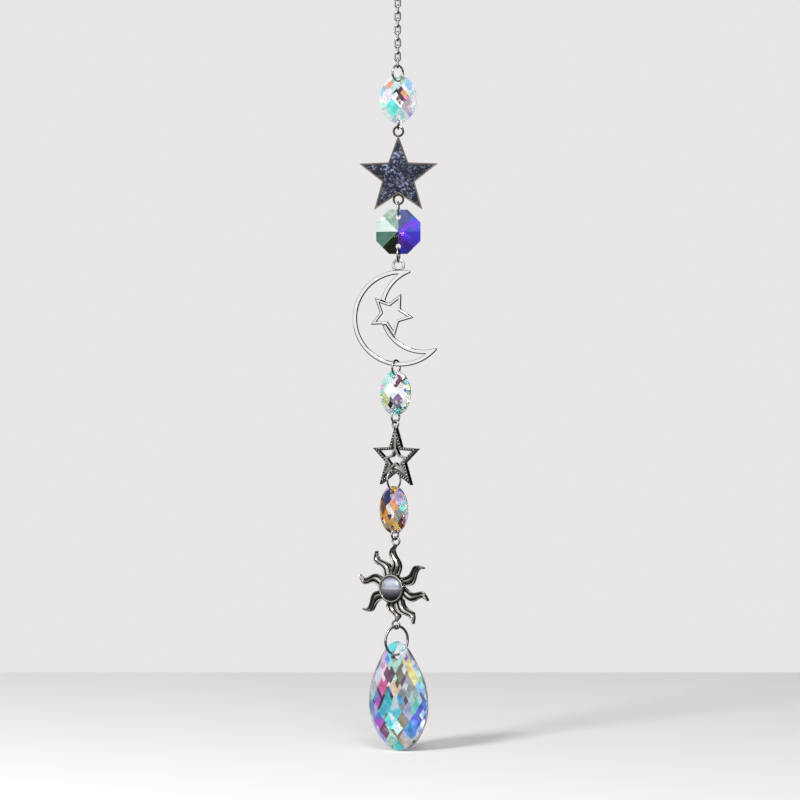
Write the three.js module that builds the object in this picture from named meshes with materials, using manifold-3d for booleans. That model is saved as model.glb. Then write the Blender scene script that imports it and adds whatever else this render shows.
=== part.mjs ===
// Crystal suncatcher: a hanging ring, a cable chain, and a string of faceted
// crystals and cast metal charms that hang from each other on jump rings.
// Millimetres, +Z up, +X to the right, and the front faces -Y.
// The origin is the inner top of the hanging ring, where a hook bears on it.

import * as THREE from 'three';
import { mergeVertices } from 'three/addons/utils/BufferGeometryUtils.js';
import Module from 'manifold-3d';

const wasm = await Module();
wasm.setup();

// Gaps
const hangGap = 0.06; // left between two wires, or a wire and a bore, that bear on each other
const seatGap = 0.12; // around an inlay or a stone in its setting
const boreClearance = 0.13; // around a ring's wire in a crystal's bore, where it is tightest
const bandGap = 0.12; // left above the band of a charm that a ring lies on

// Steps round the curved forms, and the reach of a cutting solid past what it cuts
const ringSides = 6;
const ringSteps = 14;
const hangRingSteps = 24;
const linkSides = 5;
const linkSteps = 10;
const boreSteps = 12;
const ovalSteps = 32;
const dropSideSteps = 20;
const moonOuterSteps = 48;
const moonHollowSteps = 40;
const moonHornSteps = 3;
const raySteps = 10;
const bezelSteps = 24;
const cabochonRiseSteps = 5;
const cabochonSteps = 20;
const cutThrough = 1;
const weldDistance = 1e-5;
const starTipCount = 5;

// Hanging ring
const hangRingOuter = 12;
const hangRingWire = 1.2;

// Cable chain
const linkCount = 19;
const linkLength = 3.7;
const linkWidth = 2.4;
const linkWire = 0.7;
const chainTwist = 12; // degrees that the whole chain is turned

// Jump rings, from the chain down
const jumpWire = 0.7;
const chainRingOuter = 5.9;
const starRingOuter = 4.1;
const octagonRingOuter = 5.4;
const moonRingOuter = 5.5;
const secondOvalRingOuter = 5.55;
const openStarRingOuter = 4.7;
const thirdOvalRingOuter = 7.8;
const sunRingOuter = 4.1;
const dropRingOuter = 10.4;
const dropRingWire = 0.9;

// Turns about the vertical in degrees. A ring's is from +X to its plane, and a
// charm's or a crystal's is how far it faces to the left of the front.
const chainRingTurn = 47;
const starRingTurn = 84;
const octagonRingTurn = 86;
const moonRingTurn = 82;
const secondOvalRingTurn = 58;
const openStarRingTurn = 50;
const thirdOvalRingTurn = 52;
const sunRingTurn = 50;
const dropRingTurn = 39;
const firstOvalTurn = 8;
const starTurn = 2;
const octagonTurn = 3;
const moonTurn = 7;
const secondOvalTurn = 30;
const openStarTurn = 44;
const thirdOvalTurn = 42;
const sunTurn = 32;
const dropTurn = 25;
const dropLean = 2; // degrees that the drop's foot swings to the right

// Oval crystals, from the top down
const firstOvalLength = 16;
const firstOvalWidth = 12.4;
const secondOvalLength = 15;
const secondOvalWidth = 11.7;
const thirdOvalLength = 16;
const thirdOvalWidth = 12.4;
const ovalThickness = 3.1;
const ovalGirdle = 0.6; // thickness of the edge
const ovalBoreInset = 2.0;
const ovalLozengeShare = 0.42; // half the diagonal of a facet, as a share of the half width
const ovalEdgeSlope = 0.42; // rise of the facets along the edge for each mm inwards

// Octagon crystal
const octagonAcross = 14.8;
const octagonThickness = 3.8;
const octagonGirdle = 0.9; // thickness at a corner
const octagonBoreInset = 2.5;

// Drop crystal
const dropLength = 36.3;
const dropWidth = 21.2;
const dropThickness = 6.2;
const dropGirdle = 1.4;
const dropBelly = 21.5; // depth of the widest place below the top
const dropBoreInset = 4.6;
const dropLozengeShare = 0.215;
const dropEdgeSlope = 0.55;
const dropDomeShare = 0.94; // height of the dome that the facets touch, as a share of the belly's

// Glitter star
const starRadius = 13.7;
const starNotch = 5.7;
const starThickness = 1.8;
const starRim = 0.45;
const starRecess = 0.8;
const starInlayProud = 0.15;
const starLoopOuter = 3.9;
const starLoopWire = 0.75;
const starLoopSink = 0.65; // how deep the upper loop is sunk into its point
const starFootLoopSink = 0.3; // how deep the lower loop is sunk into the two edges beside it

// Crescent moon
const moonRadius = 16.1;
const moonHollowRadius = 13.2;
const moonHollowX = 7.7; // middle of the hollow circle from the middle of the moon
const moonHollowZ = 2.65;
const moonBand = 1.45;
const moonDepth = 1.4;
const moonLoopOuter = 4.3;
const moonLoopWire = 0.8;
const moonLoopX = -0.75;
const moonLoopOverlap = 0.5; // how deep the loop is sunk into the band
const moonHornRadius = 0.45; // rounding of the tips
const moonOpeningHorn = 0.05; // the same for the opening inside the band
const moonStarRadius = 7.75;
const moonStarNotch = 3.75;
const moonStarBand = 1;
const moonStarInset = 2.25; // middle of the star to the right of the hollow's left edge
const moonStarZ = 1.35;
const moonStarTilt = 27; // degrees clockwise
const moonRingX = -1.55; // where the next ring hangs on the band

// Open star: a roped outer star round a smooth inner one
const openStarRadius = 10.9;
const openStarNotch = 4.6;
const openStarBand = 1.0;
const openStarLegSpread = 1.12; // the two lower points stand this much wider
const innerStarShare = 0.68; // of the outer star's opening, from middle to upper point
const innerStarDrop = 1.5; // its points stand round a middle this far below the outer one's
const innerStarLegSpread = 1.7;
const innerStarNotch = 2.9;
const innerNotchDrop = 1.2; // its notches stand round a middle of their own
const innerStarFoot = 2.2; // depth of its lowest notch
const innerStarBand = 0.7;
const starStemWidth = 0.9; // from the inner star's upper point to the outer one's
const starStemLap = 0.5;
const openStarDepth = 1.5;
const openStarLoopOuter = 3.3;
const openStarLoopWire = 0.7;
const openStarLoopX = -0.4;
const openStarLoopSink = 1.25; // how deep the loop is sunk into the upper point
const openStarRingX = -1.1; // where the next ring hangs on the lower left band

// Sun
const sunRadius = 13.7; // to the tips of the rays
const headRayReach = 14.5; // to the tip of the upper ray, which carries a loop
const footRayReach = 10.8; // to the tip of the lower ray, which carries a loop
const sunRays = 8;
const sunDepth = 1.6;
const rayHalfWidth = 1.45; // at its root, on top of the tip's
const rayTipHalfWidth = 0.35;
const rayRim = 0.5;
const rayGroove = 0.55;
const raySwing = 1.1; // sideways swing of the flame, first clockwise and then back
const raySwingPower = 1.3; // shifts the swing towards the tip
const rayHook = 0.4; // clockwise bend at the tip
const footRayHook = -0.6; // the same for the lower ray
const rayTaper = 2.6; // power of the share of a ray's length by which it narrows
const rayLeans = [2.6, 15, 15, 11, -2.4, 9, 13, 12]; // degrees clockwise, from the upper ray on
const rayRootOverlap = 1; // how far in below the bezel a ray starts
const grooveFrom = 0.17; // shares of a ray's length where its groove starts and ends
const grooveTo = 0.82;
const bezelOuter = 9.4;
const bezelWall = 0.65;
const bezelHeight = 1.1;
const cabochonRise = 2.3;
const cabochonWall = 0.3; // upright edge below its dome
const sunLoopOuter = 3.4;
const sunLoopWire = 0.7;
const sunLoopSink = 0.4; // how deep the loops are sunk into the tips of their rays

// How far a hang point stands to the right of what carries it
const chainRingX = 0.1;
const firstOvalX = 0.2;
const secondOvalX = -0.2;
const thirdOvalX = 0;
const sunRingX = 0.35;
const sunX = 0.35;
const dropRingX = 0.2;
const dropX = 0.2;

const silver = material(0xc9cbce, 0.22, 1);
const darkSilver = material(0x9fa1a5, 0.32, 1);
const glitter = material(0x2c3048, 0.35, 0.2);
const pearl = material(0x8f9db8, 0.12, 0.3);
const crystal = material(0xd5e6ee, 0.04, 0);
const violetCrystal = material(0x4f5fa8, 0.04, 0);

const suncatcher = new THREE.Group();

function material(color, roughness, metalness) {
  return new THREE.MeshStandardMaterial({ color, roughness, metalness });
}

function radians(degrees) {
  return THREE.MathUtils.degToRad(degrees);
}

// A closed three.js geometry as a solid that can be joined and cut
function toSolid(geometry) {
  const shell = geometry.clone();
  shell.deleteAttribute('normal');
  shell.deleteAttribute('uv');
  const merged = mergeVertices(shell, weldDistance);
  return new wasm.Manifold(new wasm.Mesh({
    numProp: 3,
    vertProperties: new Float32Array(merged.attributes.position.array),
    triVerts: new Uint32Array(merged.index.array),
  }));
}

function toGeometry(solid) {
  const mesh = solid.getMesh();
  const geometry = new THREE.BufferGeometry();
  geometry.setAttribute('position', new THREE.BufferAttribute(mesh.vertProperties, 3));
  geometry.setIndex(new THREE.BufferAttribute(mesh.triVerts, 1));
  const faceted = geometry.toNonIndexed();
  faceted.computeVertexNormals();
  return faceted;
}

function joined(solids) {
  return solids.reduce((whole, solid) => whole.add(solid));
}

// An outline in the XZ plane as a plate between two depths, front being -Y
function plate(points, front, back) {
  const shape = new THREE.Shape(points);
  const geometry = new THREE.ExtrudeGeometry(shape, { depth: back - front, bevelEnabled: false });
  geometry.rotateX(Math.PI / 2);
  geometry.translate(0, back, 0);
  return toSolid(geometry);
}

function evenPlate(points, depth) {
  return plate(points, -depth / 2, depth / 2);
}

function circlePoints(radius, x, z, steps) {
  return Array.from({ length: steps }, (_, i) => {
    const angle = (i / steps) * 2 * Math.PI;
    return new THREE.Vector2(x + radius * Math.cos(angle), z + radius * Math.sin(angle));
  });
}

// A five-pointed star with one point up, its two lower points spread if asked
function starPoints(radius, notch, spread = 1) {
  return Array.from({ length: 2 * starTipCount }, (_, i) => {
    const angle = Math.PI / 2 + (i * Math.PI) / starTipCount;
    const reach = i % 2 === 0 ? radius : notch;
    const lower = Math.abs(i - starTipCount) === 1;
    return new THREE.Vector2(reach * Math.cos(angle) * (lower ? spread : 1), reach * Math.sin(angle));
  });
}

// The same outline moved inwards by a distance, with its corners kept sharp
function inset(points, distance) {
  return points.map((point, i) => {
    const before = points[(i + points.length - 1) % points.length];
    const after = points[(i + 1) % points.length];
    const along = point.clone().sub(before).normalize();
    const onwards = after.clone().sub(point).normalize();
    const normalBefore = new THREE.Vector2(-along.y, along.x);
    const normalAfter = new THREE.Vector2(-onwards.y, onwards.x);
    const bisector = normalBefore.clone().add(normalAfter).normalize();
    return point.clone().addScaledVector(bisector, distance / bisector.dot(normalBefore));
  });
}

function moved(points, x, z, angle = 0) {
  const pivot = new THREE.Vector2(0, 0);
  return points.map((point) => point.clone().rotateAround(pivot, angle).add(new THREE.Vector2(x, z)));
}

// A round wire ring in the XZ plane
function ringGeometry(outer, wire, steps = ringSteps) {
  return new THREE.TorusGeometry((outer - wire) / 2, wire / 2, ringSides, steps).rotateX(Math.PI / 2);
}

function loopSolid(outer, wire, x, z) {
  return toSolid(ringGeometry(outer, wire).translate(x, 0, z));
}

// An oval wire link in the XZ plane: a ring whose upper and lower halves stand apart
function linkGeometry() {
  const bend = (linkWidth - linkWire) / 2;
  const geometry = new THREE.TorusGeometry(bend, linkWire / 2, linkSides, linkSteps);
  geometry.rotateZ(Math.PI / linkSteps);
  const places = geometry.attributes.position;
  const straight = (linkLength - linkWidth) / 2;
  for (let i = 0; i < places.count; i += 1) {
    places.setY(i, places.getY(i) + Math.sign(places.getY(i)) * straight);
  }
  return geometry.rotateX(Math.PI / 2);
}

// A mesh hung at a point of its own, turned about the vertical through that point
function hang(name, geometry, finish, hangPoint, place, turn, lean = 0) {
  const mesh = new THREE.Mesh(geometry, finish);
  mesh.name = name;
  mesh.position.set(-hangPoint.x, 0, -hangPoint.z);
  const leaning = new THREE.Group();
  leaning.rotation.y = -radians(lean);
  leaning.add(mesh);
  const holder = new THREE.Group();
  holder.position.set(place.x, place.y, place.z);
  holder.rotation.z = radians(turn);
  holder.add(leaning);
  suncatcher.add(holder);
}

// Where a point of a hung piece, given from its hang point, stands in the whole
function placeOf(place, turn, x, z) {
  const angle = radians(turn);
  return { x: place.x + x * Math.cos(angle), y: place.y + x * Math.sin(angle), z: place.z + z };
}

// Heights between the middles of two wires, the lower one bearing on the upper one
function wireOnWire(upper, lower) {
  return (upper + lower) / 2 + hangGap;
}

// Degrees by which a ring's wire runs askew through a bore
function askewAt(turn, ringTurn) {
  return 90 - turn - ringTurn;
}

// Diameter of a bore that lets a ring's wire through a wall at an angle
function boreFor(wire, wall, askew) {
  const angle = radians(askew);
  return wire / Math.cos(angle) + wall * Math.tan(angle) + 2 * boreClearance;
}

// Height between a bore's middle and the middle of a ring's wire at the end of its
// travel. The ring stands askew in the bore, so its wire runs out to the sides.
function boreDrop(bore, wire, wall, askew, outer) {
  const angle = radians(askew);
  const sideways = (wall / 2) * Math.tan(angle);
  const reach = bore / 2 - wire / 2 / Math.cos(angle) - hangGap;
  const run = wall / 2 / Math.cos(angle);
  return Math.sqrt(reach ** 2 - sideways ** 2) - run ** 2 / (outer - wire);
}

// Hangs a ring by its upper wire and gives the middle of its lower wire
function hangRing(name, outer, wire, turn, place) {
  const radius = (outer - wire) / 2;
  hang(name, ringGeometry(outer, wire), silver, { x: 0, z: radius }, place, turn);
  return { x: place.x, y: place.y, z: place.z - 2 * radius };
}

function below(place, x, drop) {
  return { x: place.x + x, y: place.y, z: place.z - drop };
}

// Facets

// Cuts away what lies in front of (side -1) or behind (side 1) the plane whose depth
// is height - slopeX * x - slopeZ * z
function cutFacet(solid, side, height, slopeX, slopeZ) {
  const normal = new THREE.Vector3(-slopeX, -side, -slopeZ);
  const length = normal.length();
  normal.divideScalar(length);
  return solid.trimByPlane(normal.toArray(), -height / length);
}

// Lozenge facets that touch a dome at a diagonal lattice of places
function cutLozenges(solid, side, dome, step) {
  const rise = dome.crown - dome.girdle;
  const count = Math.ceil(1 / step);
  let cut = solid;
  for (let row = -count; row <= count; row += 1) {
    for (let column = -count; column <= count; column += 1) {
      const u = column * step;
      const v = row * step;
      if ((row + column) % 2 !== 0 || Math.hypot(u, v) > 1) continue;
      const height = dome.crown + rise * (u ** 2 + v ** 2);
      const length = v > 0 ? dome.up : dome.down;
      cut = cutFacet(cut, side, height, (2 * rise * u) / dome.half, (2 * rise * v) / length);
    }
  }
  return cut;
}

// A row of narrow facets along the edge of an outline that runs anticlockwise
function cutEdge(solid, side, points, depth, slope) {
  let cut = solid;
  for (let i = 0; i < points.length; i += 2) {
    const before = points[(i + points.length - 1) % points.length];
    const after = points[(i + 1) % points.length];
    const along = after.clone().sub(before).normalize();
    const inwards = new THREE.Vector2(-along.y, along.x);
    const height = depth - slope * inwards.dot(points[i]);
    cut = cutFacet(cut, side, height, -slope * inwards.x, -slope * inwards.y);
  }
  return cut;
}

function boreSolid(diameter, depth, z) {
  return evenPlate(circlePoints(diameter / 2 / Math.cos(Math.PI / boreSteps), 0, z, boreSteps), depth);
}

// Thickness of an oval at the place in its bore where a ring's wire bears
function ovalWall(length) {
  const share = 1 - (ovalBoreInset - jumpWire) / (length / 2);
  const facet = 2 * ovalLozengeShare;
  return ovalThickness - (ovalThickness - ovalGirdle) * (2 * facet * share - facet ** 2);
}

const crystalBore = boreFor(jumpWire, ovalWall(firstOvalLength), askewAt(firstOvalTurn, chainRingTurn));

// Oval crystal, its middle at the origin
function ovalCrystal(length, width) {
  const outline = circlePoints(1, 0, 0, ovalSteps)
    .map((point) => new THREE.Vector2((point.x * width) / 2, (point.y * length) / 2));
  const dome = {
    crown: ovalThickness / 2,
    girdle: ovalGirdle / 2,
    half: width / 2,
    up: length / 2,
    down: length / 2,
  };
  let body = evenPlate(outline, ovalThickness);
  for (const side of [-1, 1]) {
    body = cutLozenges(body, side, dome, ovalLozengeShare);
    body = cutEdge(body, side, outline, ovalGirdle / 2, ovalEdgeSlope);
  }
  const boreHeight = length / 2 - ovalBoreInset;
  body = body.subtract(boreSolid(crystalBore, ovalThickness, boreHeight));
  body = body.subtract(boreSolid(crystalBore, ovalThickness, -boreHeight));
  return toGeometry(body);
}

// Octagon crystal with eight kites on each face that meet in the middle
function octagonCrystal() {
  const corner = octagonAcross / 2 / Math.cos(Math.PI / 8);
  const outline = moved(circlePoints(corner, 0, 0, 8), 0, 0, Math.PI / 8);
  const slope = (octagonThickness - octagonGirdle) / 2 / corner;
  let body = evenPlate(outline, octagonThickness);
  for (const side of [-1, 1]) {
    for (const point of outline) {
      const direction = point.clone().normalize();
      body = cutFacet(body, side, octagonThickness / 2, slope * direction.x, slope * direction.y);
    }
  }
  const boreHeight = octagonAcross / 2 - octagonBoreInset;
  body = body.subtract(boreSolid(crystalBore, octagonThickness, boreHeight));
  body = body.subtract(boreSolid(crystalBore, octagonThickness, -boreHeight));
  return toGeometry(body);
}

// Thickness of the drop at the place in its bore where its ring bears, and the bore
const dropDomeUp = dropBelly * dropDomeShare;
const dropAskew = askewAt(dropTurn, dropRingTurn);
const dropWallShare = (dropBelly - dropBoreInset + dropRingWire) / dropDomeUp;
const dropWall = dropThickness - (dropThickness - dropGirdle) * dropWallShare ** 2;
const dropBore = boreFor(dropRingWire, dropWall, dropAskew);

// Right side of the drop as shares of its length from the top and of its half width
const dropProfile = [
  [0, 0], [0.022, 0.2], [0.066, 0.36], [0.184, 0.61], [0.302, 0.81],
  [0.43, 0.95], [0.59, 1], [0.72, 0.93], [0.82, 0.79], [0.9, 0.62], [0.955, 0.42], [0.988, 0.22], [1, 0],
];

// Drop crystal, its widest place at the origin
function dropCrystal() {
  const rightSide = new THREE.SplineCurve(dropProfile.map(([depth, share]) =>
    new THREE.Vector2((share * dropWidth) / 2, dropBelly - depth * dropLength)));
  const half = rightSide.getSpacedPoints(dropSideSteps).slice(1, -1);
  const top = new THREE.Vector2(0, dropBelly);
  const foot = new THREE.Vector2(0, dropBelly - dropLength);
  const leftSide = half.map((point) => new THREE.Vector2(-point.x, point.y));
  const outline = [top, ...leftSide, foot, ...half.reverse()];
  const dome = {
    crown: dropThickness / 2,
    girdle: dropGirdle / 2,
    half: dropWidth / 2,
    up: dropDomeUp,
    down: dropLength - dropBelly,
  };
  let body = evenPlate(outline, dropThickness);
  for (const side of [-1, 1]) {
    body = cutLozenges(body, side, dome, dropLozengeShare);
    body = cutEdge(body, side, outline, dropGirdle / 2, dropEdgeSlope);
  }
  body = body.subtract(boreSolid(dropBore, dropThickness, dropBelly - dropBoreInset));
  return toGeometry(body);
}

// Charms

const starOutline = starPoints(starRadius, starNotch);
const starLoopHeight = starRadius + starLoopOuter / 2 - starLoopSink;

// The lower loop sits in the notch between the star's two lower points
const starFootEdge = starOutline[starTipCount - 1].clone().sub(starOutline[starTipCount]);
const starFootSine = Math.abs(starFootEdge.x) / starFootEdge.length();
const starFootLoopDepth = starNotch + (starLoopOuter / 2 - starFootLoopSink) / starFootSine;

// Setting of the glitter star: a plate with a recess in its front and two loops
function starSetting() {
  const front = -starThickness / 2;
  const recess = plate(inset(starOutline, starRim), front - cutThrough, front + starRecess);
  const loops = [
    loopSolid(starLoopOuter, starLoopWire, 0, starLoopHeight),
    loopSolid(starLoopOuter, starLoopWire, 0, -starFootLoopDepth),
  ];
  const body = evenPlate(starOutline, starThickness);
  return toGeometry(joined([body, ...loops]).subtract(recess));
}

function starInlay() {
  const outline = inset(starOutline, starRim + seatGap);
  const front = -starThickness / 2;
  return toGeometry(plate(outline, front - starInlayProud, front + starRecess - seatGap));
}

function arcPoints(middle, radius, from, to, steps) {
  return Array.from({ length: steps + 1 }, (_, i) => {
    const angle = from + ((to - from) * i) / steps;
    return new THREE.Vector2(middle.x + radius * Math.cos(angle), middle.y + radius * Math.sin(angle));
  });
}

// A crescent between an outer circle and a hollow one, whose horns end in small rounds
function crescentPoints(outer, hollow, horn) {
  const hollowMiddle = new THREE.Vector2(moonHollowX, moonHollowZ);
  const apart = hollowMiddle.length();
  const facing = hollowMiddle.angle();
  const outerReach = outer - horn;
  const excess = outerReach ** 2 - (hollow + horn) ** 2 + apart ** 2;
  const spread = Math.acos(excess / (2 * apart * outerReach));
  const upper = new THREE.Vector2(outerReach, 0).rotateAround(new THREE.Vector2(), facing + spread);
  const lower = new THREE.Vector2(outerReach, 0).rotateAround(new THREE.Vector2(), facing - spread);
  const toUpper = upper.clone().sub(hollowMiddle).angle();
  const toLower = lower.clone().sub(hollowMiddle).angle();
  const back = 2 * Math.PI;
  return [
    ...arcPoints(new THREE.Vector2(), outer, facing + spread, facing - spread + back, moonOuterSteps),
    ...arcPoints(lower, horn, facing - spread, toLower + Math.PI - back, moonHornSteps).slice(1, -1),
    ...arcPoints(hollowMiddle, hollow, toLower, toUpper, moonHollowSteps),
    ...arcPoints(upper, horn, toUpper - Math.PI, facing + spread, moonHornSteps).slice(1, -1),
  ];
}

// Moon: an open crescent band that carries a small open star in its hollow
function moonCharm() {
  const outline = crescentPoints(moonRadius, moonHollowRadius, moonHornRadius);
  const opening = crescentPoints(moonRadius - moonBand, moonHollowRadius + moonBand, moonOpeningHorn);
  const crescentBand = evenPlate(outline, moonDepth)
    .subtract(evenPlate(opening, moonDepth * 2));
  const upright = starPoints(moonStarRadius, moonStarNotch);
  const starX = moonHollowX - moonHollowRadius + moonStarInset;
  const star = moved(upright, starX, moonStarZ, -radians(moonStarTilt));
  const starBand = evenPlate(star, moonDepth)
    .subtract(evenPlate(inset(star, moonStarBand), moonDepth * 2));
  const loop = loopSolid(moonLoopOuter, moonLoopWire, moonLoopX, moonLoopHeight());
  return toGeometry(crescentBand.subtract(evenPlate(star, moonDepth * 2)).add(starBand).add(loop));
}

function moonLoopHeight() {
  return Math.sqrt(moonRadius ** 2 - moonLoopX ** 2) - moonLoopOverlap + moonLoopOuter / 2;
}

const openStarLoopHeight = openStarRadius + openStarLoopOuter / 2 - openStarLoopSink;

// Outer star with wide legs, and a smaller star in it that hangs from a stem and whose
// four lower points run into the outer band
function openStarCharm() {
  const outer = starPoints(openStarRadius, openStarNotch, openStarLegSpread);
  const opening = inset(outer, openStarBand);
  const reach = opening[0].y * innerStarShare;
  const inner = starPoints(reach, innerStarNotch, innerStarLegSpread).map((point, i) => {
    if (i === starTipCount) return new THREE.Vector2(0, -innerStarFoot);
    return new THREE.Vector2(point.x, point.y - (i % 2 === 0 ? innerStarDrop : innerNotchDrop));
  });
  const outerBand = evenPlate(outer, openStarDepth)
    .subtract(evenPlate(opening, openStarDepth * 2));
  const innerBand = evenPlate(inner, openStarDepth)
    .subtract(evenPlate(inset(inner, innerStarBand), openStarDepth * 2));
  const stemFoot = inner[0].y - starStemLap;
  const stemTop = opening[0].y + starStemLap;
  const stem = evenPlate([
    new THREE.Vector2(-starStemWidth / 2, stemFoot),
    new THREE.Vector2(starStemWidth / 2, stemFoot),
    new THREE.Vector2(starStemWidth / 2, stemTop),
    new THREE.Vector2(-starStemWidth / 2, stemTop),
  ], openStarDepth);
  const loop = loopSolid(openStarLoopOuter, openStarLoopWire, openStarLoopX, openStarLoopHeight);
  return toGeometry(joined([outerBand, innerBand, stem, loop]));
}

// Sideways place of a ray's middle line, which swings right, left and right again
function rayMiddle(share, hook) {
  return hook * share ** 2 + raySwing * Math.sin(2 * Math.PI * share ** raySwingPower);
}

// Outline of one flame-shaped ray between two shares of its length, pointing up
function rayPoints(from, to, rim, reach, hook) {
  const root = bezelOuter / 2 - rayRootOverlap;
  const left = [];
  const right = [];
  for (let i = 0; i <= raySteps; i += 1) {
    const share = from + ((to - from) * i) / raySteps;
    const height = root + share * (reach - root);
    const middle = rayMiddle(share, hook);
    const halfWidth = Math.max(rayHalfWidth * (1 - share ** rayTaper) - rim, 0) + rayTipHalfWidth;
    left.push(new THREE.Vector2(middle - halfWidth, height));
    right.push(new THREE.Vector2(middle + halfWidth, height));
  }
  return [...right, ...left.reverse()];
}

const headRay = 0;
const footRay = sunRays / 2;

function rayReach(index) {
  if (index === headRay) return headRayReach;
  return index === footRay ? footRayReach : sunRadius;
}

function rayAngle(index) {
  return (index * 2 * Math.PI) / sunRays - radians(rayLeans[index]);
}

function rayHookOf(index) {
  return index === footRay ? footRayHook : rayHook;
}

// Middle of the loop above (direction 1) or below (-1) the tip of a ray
function sunLoop(index, direction) {
  const tip = new THREE.Vector2(rayMiddle(1, rayHookOf(index)), rayReach(index));
  const [place] = moved([tip], 0, 0, rayAngle(index));
  return { x: place.x, z: place.y + direction * (sunLoopOuter / 2 - sunLoopSink) };
}

const sunHeadLoop = sunLoop(headRay, 1);
const sunFootLoop = sunLoop(footRay, -1);

// Sun: grooved flame rays round a bezel, with a loop at its head and at its foot
function sunCharm() {
  const front = -sunDepth / 2;
  const disc = circlePoints(bezelOuter / 2, 0, 0, bezelSteps);
  const opening = circlePoints(bezelOuter / 2 - bezelWall, 0, 0, bezelSteps);
  const parts = [
    plate(disc, front, sunDepth / 2),
    loopSolid(sunLoopOuter, sunLoopWire, sunHeadLoop.x, sunHeadLoop.z),
    loopSolid(sunLoopOuter, sunLoopWire, sunFootLoop.x, sunFootLoop.z),
  ];
  const grooves = [];
  for (let i = 0; i < sunRays; i += 1) {
    const turned = (from, to, rim) => (
      moved(rayPoints(from, to, rim, rayReach(i), rayHookOf(i)), 0, 0, rayAngle(i))
    );
    parts.push(evenPlate(turned(0, 1, 0), sunDepth));
    grooves.push(plate(turned(grooveFrom, grooveTo, rayRim), front - cutThrough, front + rayGroove));
  }
  const bezel = plate(disc, front - bezelHeight, front);
  const seat = plate(opening, front - bezelHeight - cutThrough, front);
  return toGeometry(joined(parts).subtract(joined(grooves)).add(bezel).subtract(seat));
}

// Domed stone of the sun, its back on the seat of the bezel
function cabochon() {
  const radius = bezelOuter / 2 - bezelWall - seatGap;
  const profile = [new THREE.Vector2(0, 0)];
  for (let i = 0; i < cabochonRiseSteps; i += 1) {
    const angle = (i / cabochonRiseSteps) * (Math.PI / 2);
    const height = cabochonWall + (cabochonRise - cabochonWall) * Math.sin(angle);
    profile.push(new THREE.Vector2(radius * Math.cos(angle), height));
  }
  profile.push(new THREE.Vector2(0, cabochonRise));
  const geometry = new THREE.LatheGeometry(profile, cabochonSteps);
  return geometry.rotateX(Math.PI).translate(0, -sunDepth / 2 - seatGap, 0);
}

// The string, from the top down

const hangRingRadius = (hangRingOuter - hangRingWire) / 2;
let hook = { x: 0, y: 0, z: hangRingWire / 2 };
const hangRingShape = ringGeometry(hangRingOuter, hangRingWire, hangRingSteps);
hang('hanging_ring', hangRingShape, silver, { x: 0, z: hangRingRadius }, hook, 0);
hook = below(hook, 0, 2 * hangRingRadius - wireOnWire(hangRingWire, linkWire));

const linkReach = linkLength - linkWire;
for (let i = 1; i <= linkCount; i += 1) {
  const turn = chainTwist + (i % 2 === 1 ? 90 : 0);
  const name = `chain_link_${String(i).padStart(2, '0')}`;
  hang(name, linkGeometry(), silver, { x: 0, z: linkReach / 2 }, hook, turn);
  hook = below(hook, 0, linkReach - (i < linkCount ? wireOnWire(linkWire, linkWire) : 0));
}

hook = below(hook, chainRingX, -wireOnWire(linkWire, jumpWire));
hook = hangRing('chain_ring', chainRingOuter, jumpWire, chainRingTurn, hook);

// Hangs an oval by its upper bore on the ring above, and gives the place where the
// next ring's upper wire rests in its lower bore
function hangOval(name, length, width, turn, x, above, next) {
  const boreHeight = length / 2 - ovalBoreInset;
  const wall = ovalWall(length);
  const drop = boreDrop(crystalBore, jumpWire, wall, askewAt(turn, above.turn), above.outer);
  const place = below(hook, x, drop);
  hang(name, ovalCrystal(length, width), crystal, { x: 0, z: boreHeight }, place, -turn);
  const nextDrop = boreDrop(crystalBore, jumpWire, wall, askewAt(turn, next.turn), next.outer);
  return below(place, 0, 2 * boreHeight + nextDrop);
}

hook = hangOval('oval_crystal_upper', firstOvalLength, firstOvalWidth, firstOvalTurn, firstOvalX,
  { turn: chainRingTurn, outer: chainRingOuter }, { turn: starRingTurn, outer: starRingOuter });
hook = hangRing('star_ring', starRingOuter, jumpWire, starRingTurn, hook);

const starPlace = below(hook, 0, -wireOnWire(jumpWire, starLoopWire));
const starHead = { x: 0, z: starLoopHeight + (starLoopOuter - starLoopWire) / 2 };
hang('star_setting', starSetting(), darkSilver, starHead, starPlace, -starTurn);
hang('star_inlay', starInlay(), glitter, starHead, starPlace, -starTurn);
const starFoot = starFootLoopDepth + (starLoopOuter - starLoopWire) / 2;
hook = below(starPlace, 0, starHead.z + starFoot - wireOnWire(starLoopWire, jumpWire));
hook = hangRing('octagon_ring', octagonRingOuter, jumpWire, octagonRingTurn, hook);

// Thickness of the octagon at the place in its bore where a ring's wire bears
const octagonSlope = ((octagonThickness - octagonGirdle) / octagonAcross) * Math.cos(Math.PI / 8) ** 2;
const octagonBoreHeight = octagonAcross / 2 - octagonBoreInset;
const octagonWall = octagonThickness - 2 * octagonSlope * (octagonBoreHeight + jumpWire);
const octagonAskew = askewAt(octagonTurn, octagonRingTurn);
const octagonPlace = below(hook, 0,
  boreDrop(crystalBore, jumpWire, octagonWall, octagonAskew, octagonRingOuter));
const octagonHead = { x: 0, z: octagonBoreHeight };
hang('octagon_crystal', octagonCrystal(), violetCrystal, octagonHead, octagonPlace, -octagonTurn);
hook = below(octagonPlace, 0, 2 * octagonBoreHeight
  + boreDrop(crystalBore, jumpWire, octagonWall, askewAt(octagonTurn, moonRingTurn), moonRingOuter));
hook = hangRing('moon_ring', moonRingOuter, jumpWire, moonRingTurn, hook);

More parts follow.
